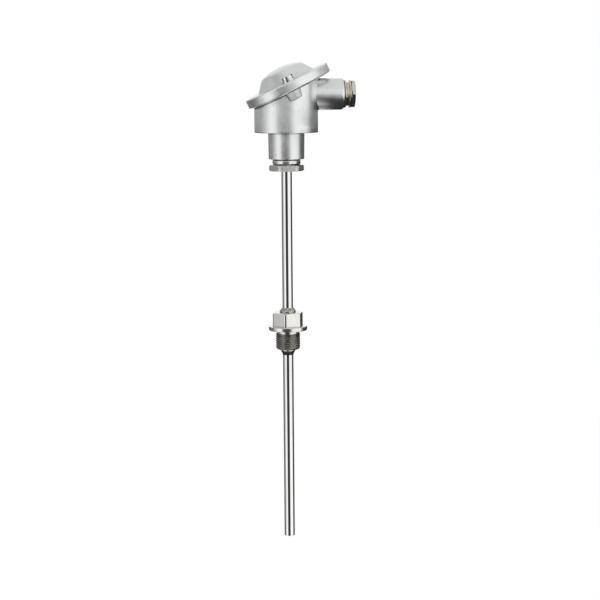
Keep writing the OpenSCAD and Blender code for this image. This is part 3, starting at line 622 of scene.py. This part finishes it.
# %% [markdown]
# ## Springs and leads
#
# Inside the head two springs hold the measuring insert down, and four leads come
# up from its sheath.  A wire is a circle carried along a path, and lies square to
# the way the path is heading.  The two directions that it lies in come from a side
# vector that the path never runs along.

# %% Wires along a path
def wire(path, radius, side, sides=16):
    """A round wire: path + radius (cos k u + sin k v), closed by a point at each end.

    t is the heading, u = side x t made one long, and v = t x u."""
    heading = np.gradient(path, axis=0)
    heading /= np.linalg.norm(heading, axis=1, keepdims=True)
    u = np.cross(np.asarray(side, float), heading)
    u /= np.linalg.norm(u, axis=1, keepdims=True)
    v = np.cross(heading, u)
    k = stations(sides)[None, :, None]
    rings = path[:, None] + radius * (np.cos(k) * u[:, None] + np.sin(k) * v[:, None])
    caps = [np.repeat(path[[i]][:, None], sides, 1) for i in (0, -1)]
    return np.concatenate([caps[0], rings, caps[1]])


springs = []
spring_low, spring_high = span("fixing_spring_front", 2)
wire_d, coils, steps_a_turn, thinner = 0.8, 6, 30, 0.98
closed = wire_d * 1.08      # rise of the flat coil at each end
travel = spring_high - spring_low - wire_d
for node in ("fixing_spring_front", "fixing_spring_rear"):
    t = np.linspace(0, coils, coils * steps_a_turn)
    rise = np.interp(t, [0, 1, coils - 1, coils], [0, closed, travel - closed, travel])
    coil_r = (span(node, 0)[1] - span(node, 0)[0] - wire_d) / 2
    middle = sum(span(node, 1)) / 2
    path = ring(coil_r, TURN * t, spring_low + wire_d / 2 + rise) + [0, middle, 0]
    grid = wire(path, wire_d / 2 * thinner, [0, 0, 1])
    coil = piece("coil_" + node[7:], "head", [(grid, False)], crease=60)
    springs.append(coil)
    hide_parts(node)
    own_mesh(coil)

# %% The four leads
leads = []
sheath_top = span("insert_sheath", 2)[1]
lead_r, lead_pitch, run_in, below_top = 0.6, 1.1, 5, 0.8
for i, (sx, sy) in enumerate([(-1, -1), (1, -1), (-1, 1), (1, 1)]):
    low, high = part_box(f"terminal_{i + 1}")
    inner = (low.x if sx > 0 else high.x) / MM
    y, z = (low.y + high.y) / 2 / MM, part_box(f"lead_wire_{i + 1}")[1].z / MM - below_top
    start = np.array([sx * lead_pitch, sy * lead_pitch, sheath_top - 1])
    a, b = start + [0, 0, 1.2], np.array([start[0], start[1], z + 2])
    c, d = np.array([inner - sx * run_in, y, z]), np.array([inner, y, z])
    # The lead leaves a towards b, upright, and reaches d from c, level.
    t = np.linspace(0, 1, 40)[:, None]
    bend = (1 - t) ** 3 * a + 3 * (1 - t) ** 2 * t * b + 3 * (1 - t) * t**2 * c + t**3 * d
    path = np.concatenate([[start], bend, [[inner + sx * 4, y, z]]])
    lead = piece(f"lead_{i + 1}", "insert", [(wire(path, lead_r, [0, 1, 0]), False)], crease=60)
    leads.append(lead)
    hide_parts(f"lead_wire_{i + 1}")

# %% [markdown]
# ## Finishes
#
# Each finish starts from the real stuff and how it was made.  Two things carry
# most of the look of metal: how rough it is, which sets how wide the studio's
# reflections smear, and a very low relief, which breaks them up.  Patterns are
# laid out in real millimetres on Object coordinates, so they sit on the metal and
# turn with it.  Where two faces meet, painted shade keeps the corner dark, and the
# eye reads that line as a joint.

# %% Colours and nodes
def tone(code):
    """An sRGB hex colour as linear red, green, blue and alpha."""
    c = np.array([int(code[i:i + 2], 16) for i in (0, 2, 4)]) / 255
    return (*np.where(c <= 0.04045, c / 12.92, ((c + 0.055) / 1.055) ** 2.4), 1.0)


def add(tree, kind, links=(), **settings):
    """Adds one shader node, sets its properties, and fills its inputs.

    links pairs an input's name or number with a value or another node's output."""
    made = tree.nodes.new("ShaderNode" + kind)
    for key, value in settings.items():
        setattr(made, key, value)
    for key, value in dict(links).items():
        if isinstance(value, bpy.types.NodeSocket):
            tree.links.new(value, made.inputs[key])
        else:
            made.inputs[key].default_value = value
    return made


def new_material(name):
    """A new material with its node tree and its principled shader."""
    material = bpy.data.materials.new(name)
    material.use_nodes = True
    return material, material.node_tree, material.node_tree.nodes["Principled BSDF"]


print("mid grey is", tone("808080"))

# %% The common start of a finish
def finish(name, light, dark, metallic, rough, grain_mm, relief_mm, cloud_mm=9.0, stretch=(1, 1, 1),
        marks=()):
    """The common start of every finish: a principled surface whose colour drifts
    between two tones in clouds, whose roughness wanders between two values, and
    whose grain stands relief_mm high.  marks are further noises laid over the
    grain: (size in mm, height in mm, stretch, detail, roughness of the noise)."""
    material, tree, shader = new_material(name)
    material.diffuse_color = tone(light)
    shader.inputs["Metallic"].default_value = metallic
    where = add(tree, "TexCoord").outputs["Object"]
    cloud = add(tree, "TexNoise", {"Vector": where, "Scale": 1 / (cloud_mm * MM),
        "Detail": 4.0, "Roughness": 0.6}).outputs["Fac"]
    colour = add(tree, "ValToRGB", {"Fac": cloud})
    for stop, place, code in zip(colour.color_ramp.elements, (0.3, 0.7), (dark, light)):
        stop.position, stop.color = place, tone(code)
    tree.links.new(colour.outputs["Color"], shader.inputs["Base Color"])
    noises, below = [], {}
    for size, high, scale, detail, uneven in [(grain_mm, relief_mm, stretch, 3.0, 0.55), *marks]:
        drawn = add(tree, "Mapping", {"Vector": where, "Scale": scale}).outputs["Vector"]
        noises.append(add(tree, "TexNoise", {"Vector": drawn, "Scale": 1 / (size * MM),
            "Detail": detail, "Roughness": uneven}).outputs["Fac"])
        bump = add(tree, "Bump", {"Height": noises[-1], "Distance": high * MM, **below})
        below = {"Normal": bump.outputs["Normal"]}
    tree.links.new(bump.outputs["Normal"], shader.inputs["Normal"])
    both = add(tree, "Math", {0: cloud, 1: noises[0]}, operation="ADD")
    wander = add(tree, "MapRange", {"Value": both.outputs[0], "From Min": 0.7, "From Max": 1.3,
        "To Min": rough[0], "To Max": rough[1]})
    tree.links.new(wander.outputs["Result"], shader.inputs["Roughness"])
    print("finish:", name)
    return material, tree, shader, where


def shaded_corners(tree, shader, reach_mm, deepest, open_from=0.3, open_to=0.75):
    """Painted shade in the corners: multiplies the colour by deepest where other metal
    within reach_mm closes most of the view, and by 1 on open faces."""
    near = add(tree, "AmbientOcclusion", {"Distance": reach_mm * MM}, samples=8)
    share = add(tree, "MapRange", {"Value": near.outputs["AO"], "From Min": open_from,
        "From Max": open_to, "To Min": deepest, "To Max": 1.0})
    colour = shader.inputs["Base Color"].links[0].from_socket
    corner_shaded_colour = add(tree, "Mix", {0: 1.0, 6: colour, 7: share.outputs["Result"]},
        data_type="RGBA", blend_type="MULTIPLY")
    tree.links.new(corner_shaded_colour.outputs[2], shader.inputs["Base Color"])


def plain(*given, painted_corner_shade=None, **more):
    """A finish of noises only.  Its keyword gives how far painted shade reaches out
    of a corner, in millimetres, and how dark it gets there."""
    material, tree, shader, where = finish(*given, **more)
    if painted_corner_shade:
        shaded_corners(tree, shader, *painted_corner_shade)
    return material


finishes = {}
print("finish tools ready")

# %% [markdown]
# ** Die-cast aluminium, shot-blasted.** Blasting leaves a fine even grain that
# smears reflections into soft bands.  The die leaves a slow waviness, and small
# pores are painted as dark specks, painted shade in pits that the mesh doesn't
# have.  The real grain of about 0.1 mm is too fine to show here, so it is drawn at
# 0.45 mm.

# %% Blasted aluminium casting
pore_gap_mm, pore_patch_mm = 2.6, 5
material, tree, shader, where = finish("blasted_die_cast_aluminium", "FAFBFB", "F1F2F2", 1.0,
    (0.29, 0.40), 0.45, 0.008, marks=[(7, 0.11, (1, 1, 1), 2.0, 0.5)])
pore = add(tree, "TexVoronoi", {"Vector": where, "Scale": 1 / (pore_gap_mm * MM)})
patch = add(tree, "TexNoise", {"Vector": where, "Scale": 1 / (pore_patch_mm * MM), "Detail": 1.0})
# Most cells have no pore; where the patch noise is high, it grows to a fifth of a cell.
limit = add(tree, "MapRange", {"Value": patch.outputs["Fac"], "From Min": 0.5, "From Max": 0.75,
    "To Min": 0.0, "To Max": 0.2})
in_pore = add(tree, "Math", {0: pore.outputs["Distance"], 1: limit.outputs["Result"]},
    operation="LESS_THAN")
colour = shader.inputs["Base Color"].links[0].from_socket
# Each pore is a dark grey speck of painted shade, since the mesh has no pit there.
pore_shaded_colour = add(tree, "Mix", {0: in_pore.outputs[0], 6: colour, 7: tone("8F9192")}, data_type="RGBA")
tree.links.new(pore_shaded_colour.outputs[2], shader.inputs["Base Color"])
# Painted shade darkens the casting's corners, such as under the rim.
shaded_corners(tree, shader, 2.2, 0.08, 0.55, 0.88)
finishes["cast_aluminium"] = material

# %% [markdown]
# **Stainless steel, turned.**  The tool leaves fine rings round the axis, which
# here is Z: a noise drawn out fifty times across that axis.  They are really 0.1 mm
# apart and are drawn at 0.35 mm, so that they break the reflections of the collar
# and the hexagon as the real ones do.

# %% Turned stainless steel
# The turned steel gets painted shade in its corners, such as under the collar.
finishes["stainless"] = plain("turned_stainless_steel", "F4F3F0", "E9E8E5", 1.0, (0.18, 0.28), 0.8, 0.004,
    marks=[(0.35, 0.006, (0.02, 0.02, 1.0), 2.0, 0.5)], painted_corner_shade=(2.4, 0.25))

# %% [markdown]
# Some faces were made another way than the rest of their piece.  The cutter leaves
# a thread darker, partly from oil that stays between its ridges and partly as
# painted shade between them.  A weld bead is brushed bright, and the ring at its
# root by the tube is given a nearly black, dull colour.  The neck screw's hexagon
# is still the drawn bar's own skin, and the lugs keep the skin of the die.  The
# cap's pockets are milled, and their dark colour is painted shade in the recess
# round each screw.  Their grain is really finer than 0.1 mm, and is drawn at 0.5 to
# 0.7 mm.

# %% Cut thread, welds, skins and milled pocket
# The thread's grey is partly oil and partly painted shade, and painted shade in its roots makes its
# ridges stand out.
thread_oil_and_shade = plain("cut_stainless_thread", "A5A39E", "7A7873", 1.0, (0.24, 0.36), 0.5, 0.006,
    2.5, painted_corner_shade=(1.2, 0.25))
# The bead glints unevenly, ripple by ripple; its darker patches and darkened corners are painted shade.
weld_bead = plain("wire_brushed_weld_bead", "E2E0DB", "A19E98", 1.0, (0.16, 0.30), 0.6, 0.02,
    1.3, painted_corner_shade=(1.5, 0.15))
# The ring at the lower weld's root, by the tube, is nearly black and dull.
dark_weld_root = plain("heat_scaled_weld_root", "5A5652", "35322F", 1.0, (0.28, 0.42), 0.5, 0.01, 1.3)
# The die's skin is pale and matt, and shows no band of its own.
cast_skin = plain("as_cast_aluminium_skin", "FAFBFB", "EDEEEE", 1.0, (0.60, 0.75), 0.5, 0.02)
# Drawn bar is dull and a little mottled.
drawn_bar = plain("drawn_hexagon_bar", "F2F1EE", "CECDCA", 1.0, (0.36, 0.50), 0.7, 0.03, 1.8)
# The pocket's dark colour and darkened corners are painted shade in the recess round the screw.
shaded_pocket = plain("milled_pocket", "6A6C6E", "4A4C4E", 1.0, (0.30, 0.42), 0.5, 0.006,
    3.0, painted_corner_shade=(3.0, 0.2))

# %% [markdown]
# **Stainless tube, bright drawn and polished.**  Drawing leaves faint lines along
# the tube, so the noise is stretched along Z.  The surface stays nearly a mirror,
# and shows the studio as upright stripes with crisp edges.

# %% Bright drawn tube
finishes["polished_stainless"] = plain("bright_drawn_stainless_tube", "FAFAF8", "F3F3F1", 1.0,
    (0.03, 0.06), 0.5, 0.0008, 14.0, (1, 1, 0.02))

# %% [markdown]
# ** Plated parts, brass and spring wire.** Plate is thin and even, and glossier
# than the bar below.  The plated parts get painted shade in their slots and corners.

# %% Plated steel, plated and plain brass, spring wire
# Zinc plate gives the screws a cool, slightly cloudy gloss.
zinc = "zinc_plated_steel", "F0F1F1", "DCDFE1", 1.0, (0.10, 0.20), 0.5, 0.003, 3.0
# A thin nickel plate lets the brass below warm it towards olive.
thin_nickel = "nickel_plated_brass", "E6E3D2", "D2CDB8", 1.0, (0.16, 0.26), 0.6, 0.003, 4.0
# The pressure screw is wrenched, so its plate is thicker, and greyer to the eye.
thick_nickel = "thick_nickel_plate", "ECEBE6", "DDDBD4", 1.0, (0.16, 0.28), 0.6, 0.003, 4.0
# The three plated finishes darken their slots and corners with painted shade.
finishes["plated_steel"], finishes["nickel_brass"], bright_nickel = (
    plain(*row, painted_corner_shade=(1.5, 0.12)) for row in (zinc, thin_nickel, thick_nickel))
bare = {
    # Turned brass is yellow with a soft gloss, and dulls in patches.
    "brass": ("turned_brass", "D6B66C", "B8914A", 1.0, (0.2, 0.34), 0.5, 0.004, 3.0),
    # Drawn spring wire is darker and soft in its gloss.
    "spring_steel": ("drawn_spring_wire", "A9AAAA", "8C8E8F", 1.0, (0.25, 0.38), 0.3, 0.003, 2.0)}
finishes.update((key, plain(*row)) for key, row in bare.items())

# %% [markdown]
# **Seals, ceramic and insulation.**  None of these is a metal, so their own colour
# counts more than the studio, and so does how dry or glossy they are.

# %% Rubber, fibre, ceramic, resin and insulation
soft_and_dry = {
    # Moulded rubber swallows light and has a fine matt skin.
    "black_rubber": ("moulded_black_rubber", "2B2B2B", "1F1F20", 0.0, (0.6, 0.75), 0.3, 0.01),
    # Vulcanised fibre is pressed paper: brick red, dry, with short streaks.
    "red_fibre": ("pressed_red_fibre", "9A4634", "7E3427", 0.0, (0.6, 0.8), 0.4, 0.015, 2.0, (1, 1, 4)),
    # Unglazed steatite is a dense, off-white ceramic with a soft sheen.
    "ceramic": ("pressed_steatite_ceramic", "EDE6D6", "DDD3BF", 0.0, (0.4, 0.55), 0.5, 0.012, 5.0),
    # Packed magnesium oxide is chalky and shows its grains.
    "oxide_powder": ("packed_oxide_powder", "F0EFEA", "DDDBD4", 0.0, (0.85, 0.95), 0.25, 0.03),
    # Cast resin is dark amber and glossy where it set against air.
    "resin": ("cast_sealing_resin", "5A3118", "46230F", 0.0, (0.12, 0.25), 1.5, 0.02),
    # Silicone insulation is soft and dull; two leads of the four are red.
    "white_insulation": ("white_silicone_insulation", "F1F0EC", "E2E0D8", 0.0, (0.45, 0.6), 0.6, 0.006)}
finishes.update((key, plain(*row)) for key, row in soft_and_dry.items())
red_insulation = plain("red_silicone_insulation", "B3261E", "971C17", 0.0, (0.45, 0.6), 0.6, 0.006)

# %% [markdown]
# ## Giving out the finishes
#
# Each piece gets the finish of its slot in the record.  Then the faces that were
# made another way are picked by where their centres lie.

# %% Coat the pieces
def coat(thing, slot_name, material=None):
    """Puts one finish on the whole of a piece."""
    thing.data.materials.clear()
    thing.data.materials.append(material or finishes[slot_name])


dressed = {"cast_aluminium": [head_casting, boss_and_lugs, slanted_cap],
    "stainless": [process_fitting, neck_screw], "polished_stainless": [protection_tube],
    "nickel_brass": [gland_body, gland_screw]}
for slot_name, things in dressed.items():
    for thing in things:
        level_shading(thing)
        coat(thing, slot_name, bright_nickel if thing == gland_screw else None)
for coil in springs:
    coat(coil, "spring_steel")
for i, lead in enumerate(leads):
    coat(lead, "white_insulation", red_insulation if i < 2 else None)
for node, thing in nodes.items():
    if not thing.hide_render:
        if not thing.material_slots:
            thing.data.materials.append(finishes[slots[node]])
        for place in thing.material_slots:
            place.material = finishes[slots[node]]

# %% Faces with a finish of their own
def recoat(thing, chosen, material):
    """Gives the faces whose centre (in millimetres) is chosen another finish."""
    centre = np.empty(len(thing.data.polygons) * 3, np.float32)
    slot = np.empty(len(thing.data.polygons), np.int32)
    thing.data.polygons.foreach_get("center", centre)
    thing.data.polygons.foreach_get("material_index", slot)
    slot[chosen(centre.reshape(-1, 3) / MM)] = len(thing.data.materials)
    thing.data.materials.append(material)
    thing.data.polygons.foreach_set("material_index", slot)
    print(thing.name, "has", material.name, "on", int((slot == slot.max()).sum()), "faces")


def from_axis(c):
    """How far each centre lies from the probe's own axis."""
    return np.hypot(c[:, 0], c[:, 1])


def in_a_pocket(c):
    """Inside the radius of a spot face, and above the flange's top."""
    own = (c - cap_origin) @ np.array(cap_axes).T
    away = np.minimum(*(np.hypot(own[:, 0], own[:, 1] - side * screw_pitch_r) for side in (-1, 1)))
    near_seat = (own[:, 2] > cover_top - 0.01) & (own[:, 2] < cover_top + dome_h)
    return (away < spot_r + 0.01) & near_seat


bead_leg, root_leg, root_drop = 2.6, 1.75, 1.4
recoat(slanted_cap, in_a_pocket, shaded_pocket)
recoat(process_fitting, lambda c: (from_axis(c) > thread_r - thread_tip)
    & (c[:, 2] > -thread_end) & (c[:, 2] < thread_high), thread_oil_and_shade)
recoat(process_fitting, lambda c: (from_axis(c) < tube_r + bead_leg)
    & ((c[:, 2] > hex_top - 0.01) | (c[:, 2] < 0.01 - thread_end)), weld_bead)
recoat(process_fitting, lambda c: (from_axis(c) < tube_r + root_leg) & (from_axis(c) > tube_r)
    & (c[:, 2] < -thread_end - root_drop), dark_weld_root)
recoat(boss_and_lugs, lambda c: np.abs(c[:, 1]) > pot_r, cast_skin)
recoat(neck_screw, lambda c: (from_axis(c) > neck_shank_r) & (c[:, 2] < neck_hex_top), drawn_bar)

# %% [markdown]
# ## The studio
#
# Bright metal shows its surroundings more than its own colour, so the studio is
# part of the finish.  World and floor are white to the camera and to reflections
# alike, and the floor still takes the shadow.  Dark cards hang beside a bright
# tube, so that its edges don't melt into a white backdrop: the gaps between them
# give the white stripes, and the cards give the dark ones.  They start on the floor
# under the probe, so no pale floor cuts into a stripe.  Only reflections see them.

# %% The white world
def white_rays(tree):
    """1 for the rays that see the backdrop: from the camera, from gloss, through glass."""
    path = add(tree, "LightPath")
    seen = path.outputs["Is Camera Ray"]
    for ray in ("Is Glossy Ray", "Is Transmission Ray"):
        seen = add(tree, "Math", {0: seen, 1: path.outputs[ray]}, operation="MAXIMUM").outputs[0]
    return seen


world = bpy.data.worlds.new("studio")
bpy.context.scene.world = world
world.use_nodes = True
sky = world.node_tree
sky.nodes.clear()
white = add(sky, "Mix", {0: white_rays(sky), 6: (0.7, 0.7, 0.7, 1), 7: (1, 1, 1, 1)},
    data_type="RGBA")
back = add(sky, "Background", {"Color": white.outputs[2], "Strength": 1.0})
add(sky, "OutputWorld", {"Surface": back.outputs[0]})
print("white world, with", len(sky.nodes), "nodes")

# %% The floor
below_tip, floor_half = 70, 6000
floor_z = tip_z - below_tip
floor_mesh = bpy.data.meshes.new("studio_floor")
corners = [(x * floor_half * MM, y * floor_half * MM, floor_z * MM)
    for x, y in ((-1, -1), (1, -1), (1, 1), (-1, 1))]
floor_mesh.from_pydata(corners, [], [(0, 1, 2, 3)])
floor = show("studio_floor", floor_mesh)
paper, tree, shader = new_material("white_paper_floor")
shader.inputs["Base Color"].default_value = tone("F4F4F3")
shader.inputs["Roughness"].default_value = 0.9
# Under the probe three tenths of the paper's own shading show, with the shadow.
# From 0.1 to 0.9 m away the floor fades into the white of the world.
where = add(tree, "TexCoord").outputs["Object"]
away = add(tree, "VectorMath", {0: where, 1: (0, 0, floor_z * MM)}, operation="DISTANCE")
fade = add(tree, "MapRange", {"Value": away.outputs["Value"], "From Min": 0.1, "From Max": 0.9,
    "To Min": 0.7, "To Max": 1.0})
share = add(tree, "Math", {0: white_rays(tree), 1: fade.outputs["Result"]},
    operation="MULTIPLY")
glow = add(tree, "Emission", {"Color": (1, 1, 1, 1), "Strength": 1.0})
mixed = add(tree, "MixShader", {0: share.outputs[0], 1: shader.outputs[0], 2: glow.outputs[0]})
tree.links.new(mixed.outputs[0], tree.nodes["Material Output"].inputs["Surface"])
floor_mesh.materials.append(paper)
print("floor at", round(floor_z, 1), "mm")

# %% What a card is
def card(name, grid, cover, grey):
    """A sheet through a grid of points that only reflections see.

    cover is 1 where the card is solid and falls to 0 at its soft edges."""
    rows, cols = grid.shape[:2]
    first = (np.arange(rows - 1)[:, None] * cols + np.arange(cols - 1)).ravel()
    quads = np.stack([first, first + 1, first + cols + 1, first + cols], -1)
    mesh = bpy.data.meshes.new(name)
    mesh.from_pydata(grid.reshape(-1, 3) * MM, [], quads)
    solid = mesh.attributes.new("cover", "FLOAT", "POINT")
    solid.data.foreach_set("value", np.broadcast_to(cover, (rows, cols)).ravel())
    sheet = show(name, mesh)
    for ray in ("camera", "diffuse", "transmission", "volume_scatter", "shadow"):
        setattr(sheet, "visible_" + ray, False)
    stuff, tree, _ = new_material(name)
    tree.nodes.clear()
    solid = add(tree, "Attribute", attribute_name="cover").outputs["Fac"]
    gap = add(tree, "BsdfTransparent")
    face = add(tree, "Emission", {"Color": (grey, grey, grey, 1), "Strength": 1.0})
    both = add(tree, "MixShader", {0: solid, 1: gap.outputs[0], 2: face.outputs[0]})
    add(tree, "OutputMaterial", {"Surface": both.outputs[0]})
    mesh.materials.append(stuff)


print("card tool ready")

# %% The cards in their places
near, far, card_top = 230, 800, 600
pot_low, pot_high = 130, 210


def cove(first, last, soft, share=1.0):
    """A curved card between two bearings from the front.  It lies on the floor
    from under the probe out to near, and then leans outwards up to card_top.

    At bearing a the point is (r sin a, -r cos a).  From the height of the head
    on, only this share of it is solid, for softer bands on the casting."""
    a = np.radians(np.linspace(first, last, 81))[None, :]
    r = np.concatenate([np.linspace(0, near, 30), np.linspace(near, far, 41)[1:]])[:, None]
    z = np.interp(r, [near, far], [floor_z + 1, card_top])
    rim = np.minimum(a - a[0, 0], a[0, -1] - a) / np.radians(soft)
    return (np.stack([r * np.sin(a), -r * np.cos(a), z + 0 * a], -1),
        np.clip(rim, 0, 1) * np.interp(z, [pot_low, pot_high], [1, share]))


def disc(radius, height, soft):
    """A level round card over the probe's axis, with a soft rim."""
    r = np.linspace(0, radius, 41)[:, None]
    return ring(r, np.linspace(0, TURN, 65), height), np.clip((radius - r) / soft, 0, 1)


def tray(x, y, height, soft):
    """A level rectangular card between two places in x and in y, in millimetres."""
    across, along = np.linspace(*x, 41)[None, :], np.linspace(*y, 41)[:, None]
    rim = np.minimum(np.minimum(across - x[0], x[1] - across),
        np.minimum(along - y[0], y[1] - along))
    grid = np.stack(np.broadcast_arrays(across, along, np.float64(height)), -1)
    return grid, np.clip(rim / soft, 0, 1)


entry_low = entry_z - entry_r
card("front_card", *cove(-41, 20, 7, 0.3), 0.04)
card("right_card", *cove(79, 168, 8, 0.65), 0.04)
card("left_card", *cove(-168, -89, 8, 0.6), 0.16)
card("grey_card", *cove(-96, -70, 6), 0.55)
card("ceiling_card", *disc(far, card_top, 250), 0.66)
card("left_ceiling_card", *tray((-750, -150), (-750, 750), card_top - 40, 220), 0.36)
card("card_below_entry", *tray((26, 110), (-72, 150), entry_low - 14, 14), 0.03)
print("seven cards stand round the probe")

# %% Soft lamps
def softbox(name, place, target, size, power):
    """A rectangular area lamp at place, turned to face target."""
    lamp = bpy.data.lights.new(name, "AREA")
    lamp.shape, lamp.size, lamp.size_y, lamp.energy = "RECTANGLE", size[0], size[1], power
    thing = show(name, lamp)
    aim = Vector(target) - Vector(place)
    thing.matrix_world = Matrix.Translation(place) @ aim.to_track_quat("-Z", "Y").to_matrix().to_4x4()
    thing.visible_glossy = False
    print(name, "power", power)


middle = (0, 0, 0.05)
softbox("key_right", (1.1, -1.0, 0.7), middle, (0.7, 1.1), 14)
softbox("fill_left", (-1.2, -0.9, 0.5), middle, (0.7, 1.1), 9)
softbox("top", (0.0, -0.1, 1.5), middle, (1.0, 1.0), 8)

# %% [markdown]
# ## The camera
#
# The camera stands a little to the left of the probe's front and looks slightly
# down.  Its frame has two level turns, the bearing from the probe and a small pan,
# then the pitch, then a slight roll.  The lens is long, so the probe hardly tapers.

# %% The camera
distance, eye_height, bearing = 1.32595, 0.203839, np.radians(-5.01)
pan, pitch_down, roll = np.radians(-0.453), np.radians(7.661), np.radians(-0.44)
lens = bpy.data.cameras.new("camera")
lens.sensor_width, lens.lens = 36, 94.3899
camera = show("camera", lens)
stand = (distance * np.sin(bearing), -distance * np.cos(bearing), eye_height)
turns = [(bearing + pan, "Z"), (np.pi / 2 - pitch_down, "X"), (roll, "Z")]
camera.matrix_world = Matrix.Translation(stand)
for angle, axis in turns:
    camera.matrix_world = camera.matrix_world @ Matrix.Rotation(angle, 4, axis)
bpy.context.scene.camera = camera
print("lens", round(lens.lens, 2), "mm")

# %% Settings and the end
bpy.context.scene.view_settings.view_transform = "Standard"
